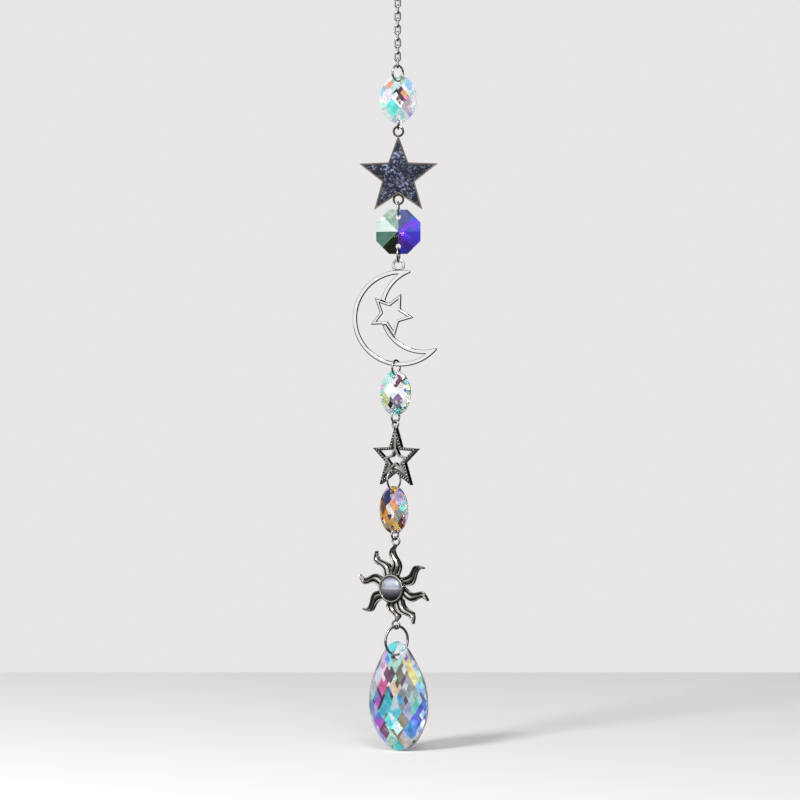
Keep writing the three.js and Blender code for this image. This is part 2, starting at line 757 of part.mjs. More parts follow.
const moonPlace = below(hook, 0, -wireOnWire(jumpWire, moonLoopWire));
const moonHead = { x: moonLoopX, z: moonLoopHeight() + (moonLoopOuter - moonLoopWire) / 2 };
hang('moon_charm', moonCharm(), silver, moonHead, moonPlace, -moonTurn);
const bandTop = -Math.sqrt((moonRadius - moonBand) ** 2 - moonRingX ** 2);
const bandRise = (moonDepth / 2) ** 2 / (secondOvalRingOuter - jumpWire);
hook = placeOf(moonPlace, -moonTurn, moonRingX - moonHead.x,
  bandTop + bandRise + jumpWire / 2 + bandGap - moonHead.z);
hook = hangRing('moon_foot_ring', secondOvalRingOuter, jumpWire, secondOvalRingTurn, hook);

hook = hangOval('oval_crystal_middle', secondOvalLength, secondOvalWidth, secondOvalTurn, secondOvalX,
  { turn: secondOvalRingTurn, outer: secondOvalRingOuter },
  { turn: openStarRingTurn, outer: openStarRingOuter });
hook = hangRing('open_star_ring', openStarRingOuter, jumpWire, openStarRingTurn, hook);

const openStarPlace = below(hook, 0, -wireOnWire(jumpWire, openStarLoopWire));
const openStarLoopRadius = (openStarLoopOuter - openStarLoopWire) / 2;
const openStarHead = { x: openStarLoopX, z: openStarLoopHeight + openStarLoopRadius };
hang('open_star_charm', openStarCharm(), darkSilver, openStarHead, openStarPlace, -openStarTurn);

// Height of the upper side of the open star's lower left band, where the ring lies
function openStarBandTop(x) {
  const outer = starPoints(openStarRadius, openStarNotch, openStarLegSpread);
  const [, , , , leg, notch] = inset(outer, openStarBand);
  const slope = (notch.y - leg.y) / (notch.x - leg.x);
  return { height: notch.y + slope * (x - notch.x), slope };
}

const openStarBandPlace = openStarBandTop(openStarRingX);
const slantedWire = (jumpWire / 2 + bandGap) * Math.hypot(1, openStarBandPlace.slope);
hook = placeOf(openStarPlace, -openStarTurn, openStarRingX - openStarHead.x,
  openStarBandPlace.height + slantedWire - openStarHead.z);
hook = hangRing('open_star_foot_ring', thirdOvalRingOuter, jumpWire, thirdOvalRingTurn, hook);

hook = hangOval('oval_crystal_lower', thirdOvalLength, thirdOvalWidth, thirdOvalTurn, thirdOvalX,
  { turn: thirdOvalRingTurn, outer: thirdOvalRingOuter }, { turn: sunRingTurn, outer: sunRingOuter });
hook = hangRing('sun_ring', sunRingOuter, jumpWire, sunRingTurn, below(hook, sunRingX, 0));

const sunPlace = below(hook, sunX, -wireOnWire(jumpWire, sunLoopWire));
const sunLoopRadius = (sunLoopOuter - sunLoopWire) / 2;
const sunHead = { x: sunHeadLoop.x, z: sunHeadLoop.z + sunLoopRadius };
hang('sun_charm', sunCharm(), darkSilver, sunHead, sunPlace, -sunTurn);
hang('sun_cabochon', cabochon(), pearl, sunHead, sunPlace, -sunTurn);
const sunFoot = { x: sunFootLoop.x, z: sunFootLoop.z - sunLoopRadius };
hook = placeOf(sunPlace, -sunTurn, sunFoot.x - sunHead.x,
  sunFoot.z + wireOnWire(sunLoopWire, dropRingWire) - sunHead.z);
hook = hangRing('drop_ring', dropRingOuter, dropRingWire, dropRingTurn, below(hook, dropRingX, 0));

const dropHead = { x: 0, z: dropBelly - dropBoreInset };
const dropPlace = below(hook, dropX,
  boreDrop(dropBore, dropRingWire, dropWall, dropAskew, dropRingOuter));
hang('drop_crystal', dropCrystal(), crystal, dropHead, dropPlace, -dropTurn, dropLean);

export default suncatcher;
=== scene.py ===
import math
import random

import bpy
from mathutils import Matrix, Vector


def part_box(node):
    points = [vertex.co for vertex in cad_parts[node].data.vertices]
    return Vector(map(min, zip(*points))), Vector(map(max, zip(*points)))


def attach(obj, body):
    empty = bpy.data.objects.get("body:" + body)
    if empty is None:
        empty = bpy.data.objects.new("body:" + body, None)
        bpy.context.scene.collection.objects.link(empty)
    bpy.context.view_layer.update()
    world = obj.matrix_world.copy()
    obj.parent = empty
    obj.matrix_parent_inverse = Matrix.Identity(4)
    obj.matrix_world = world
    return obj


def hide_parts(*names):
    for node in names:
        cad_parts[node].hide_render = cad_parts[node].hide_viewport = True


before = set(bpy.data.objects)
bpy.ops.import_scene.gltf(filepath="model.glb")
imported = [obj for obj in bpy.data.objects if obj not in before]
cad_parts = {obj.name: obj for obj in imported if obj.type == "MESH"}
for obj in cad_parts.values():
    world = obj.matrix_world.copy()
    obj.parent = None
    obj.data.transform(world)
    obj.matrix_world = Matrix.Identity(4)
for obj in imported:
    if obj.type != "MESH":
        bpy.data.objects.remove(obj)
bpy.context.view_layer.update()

# Every piece is modelled in millimetres round its own middle, facing -Y, and settle()
# turns it, brings it down to metres and sets it where its solid hangs.
millimetre = 0.001


# ---- working by hand, in code

def clearSelection():
    if bpy.context.mode != "OBJECT":
        bpy.ops.object.mode_set(mode="OBJECT")
    bpy.ops.object.select_all(action="DESELECT")


def pick(piece):
    clearSelection()
    piece.select_set(True)
    bpy.context.view_layer.objects.active = piece


def edit(piece, kind="FACE"):
    pick(piece)
    bpy.ops.object.mode_set(mode="EDIT")
    bpy.ops.mesh.select_mode(type=kind)
    bpy.ops.mesh.select_all(action="SELECT")


def leaveEdit():
    bpy.ops.object.mode_set(mode="OBJECT")


def selectFaces(piece, test):
    edit(piece, "FACE")
    bpy.ops.mesh.select_all(action="DESELECT")
    leaveEdit()
    for face in piece.data.polygons:
        face.select = bool(test(face.center, face.normal))
    bpy.ops.object.mode_set(mode="EDIT")


def selectPoints(piece, test):
    edit(piece, "VERT")
    bpy.ops.mesh.select_all(action="DESELECT")
    leaveEdit()
    for point in piece.data.vertices:
        point.select = bool(test(point.co))
    bpy.ops.object.mode_set(mode="EDIT")


def applyPlace(piece):
    pick(piece)
    bpy.ops.object.transform_apply(location=True, rotation=True, scale=True)


def newest(name):
    piece = bpy.context.active_object
    piece.name = name
    piece.data.name = name
    applyPlace(piece)
    return piece


def addDisc(name, radius, corners):
    clearSelection()
    bpy.ops.mesh.primitive_circle_add(
        vertices=corners, radius=radius, fill_type="NGON", rotation=(math.pi / 2, 0, 0))
    return newest(name)


def addDrum(name, radius, depth, corners, z=0, turn=0):
    clearSelection()
    bpy.ops.mesh.primitive_cylinder_add(
        vertices=corners, radius=radius, depth=depth, location=(0, 0, z),
        rotation=(math.pi / 2, turn, 0))
    return newest(name)


def movePoints(piece, test, move):
    selectPoints(piece, test)
    bpy.ops.transform.translate(value=move)
    leaveEdit()


def scalePoints(piece, test, scale, centre=(0, 0, 0)):
    selectPoints(piece, test)
    bpy.ops.transform.resize(value=scale, center_override=centre)
    leaveEdit()


def mendNormals(piece):
    edit(piece)
    bpy.ops.mesh.normals_make_consistent(inside=False)
    leaveEdit()


# A flat outline is set at the depth of its front and extruded backwards
def extrudeAll(piece, depth, front=0):
    edit(piece)
    bpy.ops.transform.translate(value=(0, front, 0))
    bpy.ops.mesh.extrude_region_move(TRANSFORM_OT_translate={"value": (0, depth, 0)})
    leaveEdit()
    mendNormals(piece)


# Only a band along a flat outline is kept
def openUp(piece, band):
    edit(piece)
    bpy.ops.mesh.inset(thickness=band, use_even_offset=True)
    bpy.ops.mesh.delete(type="FACE")
    leaveEdit()


# The broad front goes down by a depth, but for a rim
def sinkFront(piece, rim, depth):
    selectFaces(piece, lambda centre, normal: normal.y < -0.9)
    bpy.ops.mesh.inset(thickness=rim, use_even_offset=True)
    bpy.ops.mesh.extrude_region_move(TRANSFORM_OT_translate={"value": (0, depth, 0)})
    leaveEdit()


def copyOf(piece, name):
    twin = piece.copy()
    twin.data = piece.data.copy()
    twin.name = name
    twin.data.name = name
    bpy.context.collection.objects.link(twin)
    return twin


def combine(piece, other, way):
    pick(piece)
    cutter = piece.modifiers.new("combine", "BOOLEAN")
    cutter.operation = way
    cutter.solver = "EXACT"
    cutter.object = other
    bpy.ops.object.modifier_apply(modifier=cutter.name)
    bpy.data.objects.remove(other)


def joinAll(piece, others):
    pick(piece)
    for other in others:
        other.select_set(True)
    bpy.ops.object.join()


def roundEdges(piece, width, segments=2, clamped=True):
    pick(piece)
    bevel = piece.modifiers.new("rounding", "BEVEL")
    bevel.width = width
    bevel.segments = segments
    bevel.limit_method = "ANGLE"
    bevel.angle_limit = math.radians(30)
    bevel.use_clamp_overlap = clamped
    bpy.ops.object.modifier_apply(modifier=bevel.name)


def smooth(piece, angle=35):
    pick(piece)
    bpy.ops.object.shade_smooth_by_angle(angle=math.radians(angle))


# The same for a flat piece with rounded edges, whose broad faces stay flat
def smoothFlat(piece, angle=35):
    smooth(piece, angle)
    weighting = piece.modifiers.new("weighting", "WEIGHTED_NORMAL")
    weighting.mode = "FACE_AREA"
    weighting.weight = 100
    weighting.keep_sharp = True
    bpy.ops.object.modifier_apply(modifier=weighting.name)


def settle(piece, node, turn=0, lean=0, fromMiddle=(0, 0, 0)):
    low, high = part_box(node)
    place = (low + high) / 2 + Vector(fromMiddle) * millimetre
    piece.matrix_world = (
        Matrix.Translation(place)
        @ Matrix.Rotation(math.radians(-turn), 4, "Z")
        @ Matrix.Rotation(math.radians(-lean), 4, "Y")
        @ Matrix.Scale(millimetre, 4))
    applyPlace(piece)
    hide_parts(node)
    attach(piece, "root")


# ---- finishes

def tone(code):
    values = [int(code[i:i + 2], 16) / 255 for i in (1, 3, 5)]
    linear = [v / 12.92 if v <= 0.04045 else ((v + 0.055) / 1.055) ** 2.4 for v in values]
    return (*linear, 1)


# A node's sockets get a value, or a link from another node's output
def fill(tree, node, inputs):
    for name, value in inputs.items():
        if isinstance(value, bpy.types.NodeSocket):
            tree.links.new(value, node.inputs[name])
        else:
            node.inputs[name].default_value = value


def addNode(tree, kind, inputs=None, **settings):
    node = tree.nodes.new("ShaderNode" + kind)
    for name, value in settings.items():
        setattr(node, name, value)
    fill(tree, node, inputs or {})
    return node


def calculate(tree, operation, *values):
    return addNode(tree, "Math", dict(enumerate(values)), operation=operation).outputs[0]


def blend(tree, factor, first, second):
    mix = addNode(tree, "Mix", {"Factor": factor, "A": first, "B": second}, data_type="RGBA")
    return mix.outputs["Result"]


def ranged(tree, value, low, high, toLow=0, toHigh=1, **settings):
    return addNode(tree, "MapRange", {
        "Value": value, "From Min": low, "From Max": high, "To Min": toLow, "To Max": toHigh,
    }, **settings).outputs["Result"]


def startMaterial(name):
    material = bpy.data.materials.new(name)
    material.use_nodes = True
    tree = material.node_tree
    place = addNode(tree, "TexCoord").outputs["Object"]
    return material, tree, tree.nodes["Principled BSDF"], place


# A group with its sockets, each as name, kind and value
def startGroup(name, inputs, outputs):
    group = bpy.data.node_groups.new(name, "ShaderNodeTree")
    for way, sockets in (("INPUT", inputs), ("OUTPUT", outputs)):
        for label, kind, *value in sockets:
            socket = group.interface.new_socket(
                name=label, in_out=way, socket_type="NodeSocket" + kind)
            if value:
                socket.default_value = value[0]
    return group, group.nodes.new("NodeGroupInput").outputs, group.nodes.new("NodeGroupOutput")


# Fine polishing marks and smears on plated metal
def makePolishGroup():
    group, given, result = startGroup(
        "polishing marks",
        [("Vector", "Vector"), ("Mark Scale", "Float", 4000), ("Smear Scale", "Float", 500),
         ("Smoothest", "Float", 0.06), ("Roughest", "Float", 0.2)],
        [("Roughness", "Float"), ("Height", "Float"), ("Smear", "Float")])
    stretch = addNode(group, "Mapping", {"Vector": given["Vector"], "Scale": (1, 1, 0.12)})
    marks = addNode(group, "TexNoise", {
        "Vector": stretch.outputs["Vector"], "Scale": given["Mark Scale"], "Detail": 4})
    smear = addNode(group, "TexNoise", {
        "Vector": given["Vector"], "Scale": given["Smear Scale"], "Detail": 3})
    spread = ranged(
        group, smear.outputs["Fac"], 0.3, 0.7, given["Smoothest"], given["Roughest"])
    fill(group, result, {
        "Roughness": spread, "Height": marks.outputs["Fac"], "Smear": smear.outputs["Fac"]})
    return group


# The colour of a facet's coat: broken into small lozenges, as of the facets behind it,
# each a little off in hue and brightness, and a few of them painted white as painted glints
def makeCoatGroup():
    group, given, result = startGroup(
        "rainbow coat",
        [("Facet", "Color", (1, 1, 1, 1)), ("Vector", "Vector"), ("Cell Scale", "Float", 380),
         ("Drift", "Float", 0.12), ("Darkest", "Float", 0.6), ("Lightest", "Float", 1.25),
         ("Glint", "Float", 0.6)],
        [("Color", "Color")])
    lozenge = addNode(group, "Mapping", {
        "Vector": given["Vector"], "Rotation": (0, math.radians(45), 0)})
    cells = addNode(group, "TexVoronoi", {
        "Vector": lozenge.outputs["Vector"], "Scale": given["Cell Scale"]},
        distance="CHEBYCHEV")
    parts = addNode(group, "SeparateColor", {"Color": cells.outputs["Color"]}).outputs
    halfway = calculate(group, "MULTIPLY_ADD", given["Drift"], -0.5, 0.5)
    shifted = addNode(group, "HueSaturation", {
        "Hue": calculate(group, "MULTIPLY_ADD", parts["Red"], given["Drift"], halfway),
        "Value": ranged(group, parts["Green"], 0.1, 0.9, given["Darkest"], given["Lightest"]),
        "Color": given["Facet"]})
    # the cells past this mark are painted white, as painted glints
    paintedGlintCells = calculate(group, "GREATER_THAN", parts["Blue"], 0.93)
    paintedGlint = calculate(group, "MULTIPLY", paintedGlintCells, given["Glint"])
    fill(group, result, {
        "Color": blend(group, paintedGlint, shifted.outputs["Color"], (1, 1, 1, 1))})
    return group


polishGroup = makePolishGroup()
coatGroup = makeCoatGroup()


def makeSilver(name, look):
    material, tree, shader, place = startMaterial(name)
    polish = addNode(tree, "Group", {
        "Vector": place, "Smoothest": look["smoothest"], "Roughest": look["roughest"],
    }, node_tree=polishGroup).outputs
    bump = addNode(tree, "Bump", {
        "Strength": look["bump"], "Distance": 0.00002, "Height": polish["Height"]})
    fill(tree, shader, {
        "Metallic": 1, "Roughness": polish["Roughness"], "Normal": bump.outputs["Normal"],
        "Base Color": blend(tree, polish["Smear"], tone(look["bright"]), tone(look["dull"]))})
    return material


silverWire = makeSilver("silver wire", {
    "bright": "#eeeef0", "dull": "#bebcba", "smoothest": 0.05, "roughest": 0.16, "bump": 0.15})
polishedCast = makeSilver("polished cast silver", {
    "bright": "#f4f4f4", "dull": "#dcdad8", "smoothest": 0.06, "roughest": 0.18, "bump": 0.2})
antiqueSilver = makeSilver("antique silver", {
    "bright": "#f0eeea", "dull": "#a8a29c", "smoothest": 0.1, "roughest": 0.24, "bump": 0.35})
bronzedSilver = makeSilver("bronzed rim", {
    "bright": "#9a9088", "dull": "#4a423c", "smoothest": 0.15, "roughest": 0.35, "bump": 0.4})
# a dark finish: patina in recesses, and painted shade on the moon's walls
patinaAndShadeSilver = makeSilver("dark silver for patina and painted shade", {
    "bright": "#2a2826", "dull": "#0c0b0b", "smoothest": 0.3, "roughest": 0.55, "bump": 0.5})


def makeCrystal(name, clear, mirror, coating):
    material, tree, shader, place = startMaterial(name)
    facetTint = addNode(tree, "Attribute", attribute_name="facetTint").outputs["Color"]
    coat = addNode(tree, "Group", {
        "Facet": facetTint, "Vector": place, **coating}, node_tree=coatGroup)
    fill(tree, shader, {
        "Roughness": 0.01, "IOR": 1.5, "Transmission Weight": clear, "Metallic": mirror,
        "Base Color": coat.outputs["Color"]})
    return material


rainbowCrystal = makeCrystal("rainbow crystal", 0.94, 0.24, {
    "Cell Scale": 520, "Drift": 0.07, "Darkest": 0.8, "Lightest": 1.45, "Glint": 0.6})
violetCrystal = makeCrystal("violet crystal", 0.85, 0.4, {
    "Cell Scale": 260, "Drift": 0.05, "Darkest": 0.85, "Lightest": 1.25, "Glint": 0.3})


def makeGlitter():
    look = {"resin": "#090d1e", "flake": "#b4bcd6", "blueFlake": "#4a5684", "flakes": 1700,
            "clumps": 480, "bright": (0.45, 1.05), "thick": (0.35, 0.65)}
    material, tree, shader, place = startMaterial("glitter resin")
    cells = addNode(tree, "TexVoronoi", {"Vector": place, "Scale": look["flakes"]})
    parts = addNode(tree, "SeparateColor", {"Color": cells.outputs["Color"]}).outputs
    clumps = addNode(tree, "TexNoise", {"Vector": place, "Scale": look["clumps"], "Detail": 2})
    showing = calculate(
        tree, "MULTIPLY", ranged(tree, parts["Red"], *look["bright"]),
        ranged(tree, clumps.outputs["Fac"], *look["thick"]))
    flake = blend(tree, parts["Green"], tone(look["flake"]), tone(look["blueFlake"]))
    tilt = addNode(tree, "Bump", {
        "Strength": 0.5, "Distance": 0.00004, "Height": parts["Blue"]})
    fill(tree, shader, {
        "Base Color": blend(tree, showing, tone(look["resin"]), flake), "Metallic": showing,
        "Normal": tilt.outputs["Normal"], "Roughness": 0.3, "Specular IOR Level": 0.25,
        "Coat Weight": 0.15, "Coat Roughness": 0.1})
    return material


# Pearl greys, painted by the stone's height: a painted highlight as a bright streak across
# the middle, paler above, and painted shade down to nearly black at the foot
def makePearl():
    look = {"paintedShadeAndHighlight": [(0.0, "#0a0b10"), (0.14, "#24252c"), (0.3, "#5a5860"), (0.46, "#83818a"),
                       (0.52, "#b0b3be"), (0.6, "#8a8f9e"), (0.8, "#b2b8c6"), (1.0, "#6a7080")],
            "clouds": 260, "cloudDepth": 0.16}
    material, tree, shader, place = startMaterial("pearl stone")
    height = addNode(tree, "Attribute", attribute_name="stoneHeight").outputs["Fac"]
    clouds = addNode(tree, "TexNoise", {
        "Vector": place, "Scale": look["clouds"], "Detail": 3, "Distortion": 0.8})
    drift = calculate(tree, "MULTIPLY_ADD", clouds.outputs["Fac"], look["cloudDepth"],
                      -look["cloudDepth"] / 2)
    ramp = addNode(tree, "ValToRGB", {"Fac": calculate(tree, "ADD", height, drift)})
    paintedShadeAndHighlight = ramp.color_ramp.elements
    while len(paintedShadeAndHighlight) < len(look["paintedShadeAndHighlight"]):
        paintedShadeAndHighlight.new(0.5)
    for element, (share, colour) in zip(paintedShadeAndHighlight, look["paintedShadeAndHighlight"]):
        element.position = share
        element.color = tone(colour)
    fill(tree, shader, {
        "Base Color": ramp.outputs["Color"], "Metallic": 0.5, "Roughness": 0.25,
        "Coat Weight": 1, "Coat Roughness": 0.03})
    return material


glitterResin = makeGlitter()
pearlStone = makePearl()


def finishPiece(piece, material):
    piece.data.materials.clear()
    piece.data.materials.append(material)


# The faces that pass a test get a dark silver finish, as the piece's second material:
# patina in the recesses of the antique pieces, and painted shade on the moon's walls
def darkenForPatinaAndShade(piece, test):
    piece.data.materials.append(patinaAndShadeSilver)
    for face in piece.data.polygons:
        face.material_index = 1 if test(face) else 0


# ---- rings and chain

jumpWire = 0.7
rings = {
    "chainRing": {"node": "chain_ring", "outer": 5.9, "turn": 47, "seam": 30},
    "starRing": {"node": "star_ring", "outer": 4.1, "turn": 84, "seam": 200},
    "octagonRing": {"node": "octagon_ring", "outer": 5.4, "turn": 86, "seam": 10},
    "moonRing": {"node": "moon_ring", "outer": 5.5, "turn": 82, "seam": 170},
    "moonFootRing": {"node": "moon_foot_ring", "outer": 5.55, "turn": 58, "seam": -15},
    "openStarRing": {"node": "open_star_ring", "outer": 4.7, "turn": 50, "seam": 190},
    "openStarFootRing": {"node": "open_star_foot_ring", "outer": 7.8, "turn": 52, "seam": 20},
    "sunRing": {"node": "sun_ring", "outer": 4.1, "turn": 50, "seam": 5},
    "dropRing": {"node": "drop_ring", "outer": 10.4, "turn": 39, "seam": 35, "wire": 0.9},
}
ringFinish = {"sides": 14, "steps": 72, "gap": 0.05}


# A wire section spun round until its two cut ends almost meet
def makeRing(name, spec):
    wire = spec.get("wire", jumpWire)
    radius = (spec["outer"] - wire) / 2
    clearSelection()
    bpy.ops.mesh.primitive_circle_add(
        vertices=ringFinish["sides"], radius=wire / 2, fill_type="NGON", location=(radius, 0, 0))
    ring = newest(name)
    edit(ring)
    bpy.ops.mesh.spin(
        steps=ringFinish["steps"], angle=2 * math.pi - ringFinish["gap"] / radius,
        center=(0, 0, 0), axis=(0, 1, 0))
    bpy.ops.mesh.select_all(action="SELECT")
    bpy.ops.transform.rotate(
        value=math.radians(spec["seam"]), orient_axis="Y", center_override=(0, 0, 0))
    bpy.ops.mesh.normals_make_consistent(inside=False)
    leaveEdit()
    smooth(ring)
    finishPiece(ring, silverWire)
    settle(ring, spec["node"], turn=-spec["turn"])


for name, spec in rings.items():
    makeRing(name, spec)
print("jump rings made:", len(rings))

hangingRing = {"outer": 12, "wire": 1.2, "bead": 1.12}


def makeHangingRing():
    wire = hangingRing["wire"]
    radius = (hangingRing["outer"] - wire) / 2
    clearSelection()
    bpy.ops.mesh.primitive_torus_add(
        major_segments=96, minor_segments=20, major_radius=radius, minor_radius=wire / 2,
        rotation=(math.pi / 2, 0, 0))
    ring = newest("hangingRing")
    # the soldered joint is a little thicker than the wire
    for width, swell in ((0.9, 1.04), (0.5, 1.05)):
        scalePoints(
            ring, lambda co: co.x > 0 and abs(co.z) < width, (swell, swell, 1), (radius, 0, 0))
    smooth(ring)
    finishPiece(ring, silverWire)
    settle(ring, "hanging_ring")


makeHangingRing()

chain = {"links": 19, "length": 3.7, "width": 2.4, "wire": 0.7, "twist": 12}


def makeLink():
    bend = (chain["width"] - chain["wire"]) / 2
    straight = (chain["length"] - chain["width"]) / 2
    clearSelection()
    bpy.ops.mesh.primitive_torus_add(
        major_segments=36, minor_segments=12, major_radius=bend, minor_radius=chain["wire"] / 2,
        rotation=(math.pi / 2, 0, 0))
    link = newest("chainLink")
    for way in (1, -1):
        movePoints(link, lambda co: co.z * way > 0.01, (0, 0, straight * way))
    # solder at the joint in one side
    scalePoints(link, lambda co: co.x > 0 and abs(co.z) < 0.05, (1.12, 1.12, 1), (bend, 0, 0))
    smooth(link, 60)
    return link


firstLink = makeLink()
for number in range(1, chain["links"] + 1):
    link = copyOf(firstLink, f"chainLink{number:02d}")
    finishPiece(link, silverWire)
    edgeOn = 90 if number % 2 == 1 else 0
    settle(link, f"chain_link_{number:02d}", turn=-(chain["twist"] + edgeOn))
bpy.data.objects.remove(firstLink)
print("chain made:", chain["links"], "links")


# ---- crystals

coatTints = {
    "clear": "#f4fbff", "white": "#ffffff", "ice": "#cfeef6", "sky": "#7fc4f4", "cyan": "#4fe6f6",
    "turquoise": "#49cfc4", "mint": "#a8f0d2", "green": "#6fc79a", "lime": "#dff29a",
    "yellow": "#f6ee86", "gold": "#e6a83c", "orange": "#e8864a", "peach": "#f6c3a0",
    "pink": "#f0b4e4", "magenta": "#d24ee0", "rose": "#c84a7c", "lilac": "#c3b2ee",
    "periwinkle": "#8f97f0", "blue": "#3f86f2", "indigo": "#3a2fae", "violet": "#7a4fd0",
    "plum": "#4e2c46", "maroon": "#3c1420", "brown": "#5a3a2a", "taupe": "#7c6a5a",
    "grey": "#8f969c", "navy": "#141c4c", "pine": "#123c38", "black": "#0c0a10",
    "cream": "#f8f2d4", "foam": "#e4fbf0", "sage": "#8fae9c", "blush": "#f3dcf2",
    "mauve": "#b8a8b4", "purpleMauve": "#7c5c94", "aubergine": "#2c1430", "slate": "#4a5590",
    "fir": "#3c6a58", "khaki": "#8c8a78", "ultramarine": "#3a34d0", "iris": "#4a2fd8",
    "purple": "#4b2aa8", "soot": "#101408",
}
coatPower = {-1: 1.1, 1: 0.25}


def facet(side, height, slopeX, slopeZ, place):
    return {
        "side": side,
        "point": Vector((0, side * height, 0)),
        "outward": Vector((slopeX, side, slopeZ)).normalized(),
        "place": place,
    }


# Lozenge facets that touch a dome at a diagonal lattice of places
def lozenges(side, dome, step, shift):
    rise = dome["crown"] - dome["girdle"]
    count = math.ceil(1 / step) + 1
    found = []
    for row in range(-count, count + 1):
        for column in range(-count, count + 1):
            u = column * step + shift[0]
            v = row * step + shift[1]
            if (row + column) % 2 or math.hypot(u, v) > 1:
                continue
            length = dome["up"] if v > 0 else dome["down"]
            height = dome["crown"] + rise * (u * u + v * v)
            found.append(facet(
                side, height, 2 * rise * u / dome["half"], 2 * rise * v / length,
                (u * dome["half"], v * length)))
    return found


# Narrow facets along every second side of the outline
def edgeFacets(side, outline, depth, slope):
    found = []
    for i in range(0, len(outline), 2):
        here = outline[i]
        along = outline[(i + 1) % len(outline)] - outline[i - 1]
        outwards = Vector((along.y, -along.x)).normalized()
        if outwards.dot(here) < 0:
            outwards.negate()
        found.append(facet(
            side, depth + slope * outwards.dot(here), slope * outwards.x, slope * outwards.y,
            (here.x, here.y)))
    return found


def cutFacets(piece, facets):
    edit(piece)
    for one in facets:
        bpy.ops.mesh.select_all(action="SELECT")
        bpy.ops.mesh.bisect(
            plane_co=one["point"], plane_no=one["outward"], use_fill=True, clear_outer=True)
    bpy.ops.mesh.select_all(action="SELECT")
    bpy.ops.mesh.remove_doubles(threshold=0.002)
    bpy.ops.mesh.normals_make_consistent(inside=False)
    leaveEdit()


def drill(piece, diameter, depth, z):
    bore = addDrum("bore", diameter / 2, depth, 28, z=z)
    combine(piece, bore, "DIFFERENCE")


# Slanting lines scored across a crystal, which part its facets into small lozenges, as
# where the facets behind show through them
def scoreFacets(piece, dome, spacing, seed):
    draw = random.Random(seed)
    count = math.ceil(1.5 / spacing)
    edit(piece)
    for slant in (1, -1):
        outward = Vector((1 / dome["half"], 0, slant / dome["up"]))
        for line in range(-count, count + 1):
            level = (line + draw.uniform(-0.35, 0.35)) * spacing
            bpy.ops.mesh.select_all(action="SELECT")
            bpy.ops.mesh.bisect(
                plane_co=outward * (level / outward.length_squared), plane_no=outward)
    bpy.ops.mesh.select_all(action="SELECT")
    bpy.ops.mesh.remove_doubles(threshold=0.004)
    leaveEdit()


# Light is coloured at the front and at the back, so the back's tints are paler
def coatColour(name, side):
    power = coatPower[side]
    return tuple(value ** power for value in tone(coatTints[name]))


# Each facet gets its own tint: an accent where one is named within a millimetre, else one
# drawn in turn. The lozenges in it keep that tint or flash in another, drawn or named
def tintFacets(piece, facets, coat):
    draw = random.Random(coat["seed"])
    tints = []
    for one in facets:
        onFront = one["side"] < 0
        choice = draw.choice(coat["front"] if onFront else coat["back"])
        for x, z, named in coat["accents"] if onFront else coat.get("backAccents", []):
            if math.hypot(one["place"][0] - x, one["place"][1] - z) < 1:
                choice = named
        tints.append(coatColour(choice, one["side"]))
    layer = piece.data.attributes.new("facetTint", "FLOAT_COLOR", "FACE")
    for face in piece.data.polygons:
        near = max(range(len(facets)), key=lambda i: facets[i]["outward"].dot(face.normal))
        matched = facets[near]["outward"].dot(face.normal) > 0.9997
        tint = tints[near] if matched else tone(coatTints["clear"])
        if matched and draw.random() < coat["flecked"]:
            tint = coatColour(draw.choice(coat["flecks"]), facets[near]["side"])
        for x, z, reach, named in coat["flashes"]:
            offset = math.hypot(face.center.x - x, face.center.z - z)
            if face.normal.y < -0.5 and offset < reach:
                tint = coatColour(named, -1)
        layer.data[face.index].color = tint


def outlineOf(piece):
    points = [v.co for v in piece.data.vertices if v.co.y < 0]
    points.sort(key=lambda co: math.atan2(co.z, co.x))
    return [Vector((co.x, co.z)) for co in points]


# Facets on both sides of a blank, then its bores, its score lines and its tints
def cutCrystal(piece, shape, dome, bores, coat):
    outline = outlineOf(piece)
    facets = []
    for side in (-1, 1):
        facets += lozenges(side, dome, shape["lozenge"], coat["shift"][side])
        facets += edgeFacets(side, outline, shape["girdle"] / 2, shape["edgeSlope"])
    cutFacets(piece, facets)
    for z in bores:
        drill(piece, shape["bore"], shape["thickness"] * 2, z)
    scoreFacets(piece, dome, shape["scoring"], coat["seed"])
    tintFacets(piece, facets, coat)
    finishPiece(piece, rainbowCrystal)


oval = {"thickness": 3.1, "girdle": 0.6, "boreInset": 2.0, "bore": 1.69, "lozenge": 0.42,
        "edgeSlope": 0.42, "corners": 48, "scoring": 0.42}


def makeOval(name, node, length, width, turn, coat):
    thickness = oval["thickness"]
    piece = addDrum(name, 1, thickness, oval["corners"])
    edit(piece)
    bpy.ops.transform.resize(value=(width / 2, 1, length / 2))
    leaveEdit()
    dome = {"crown": thickness / 2, "girdle": oval["girdle"] / 2, "half": width / 2,
            "up": length / 2, "down": length / 2}
    bore = length / 2 - oval["boreInset"]
    cutCrystal(piece, oval, dome, (bore, -bore), coat)
    settle(piece, node, turn=turn)


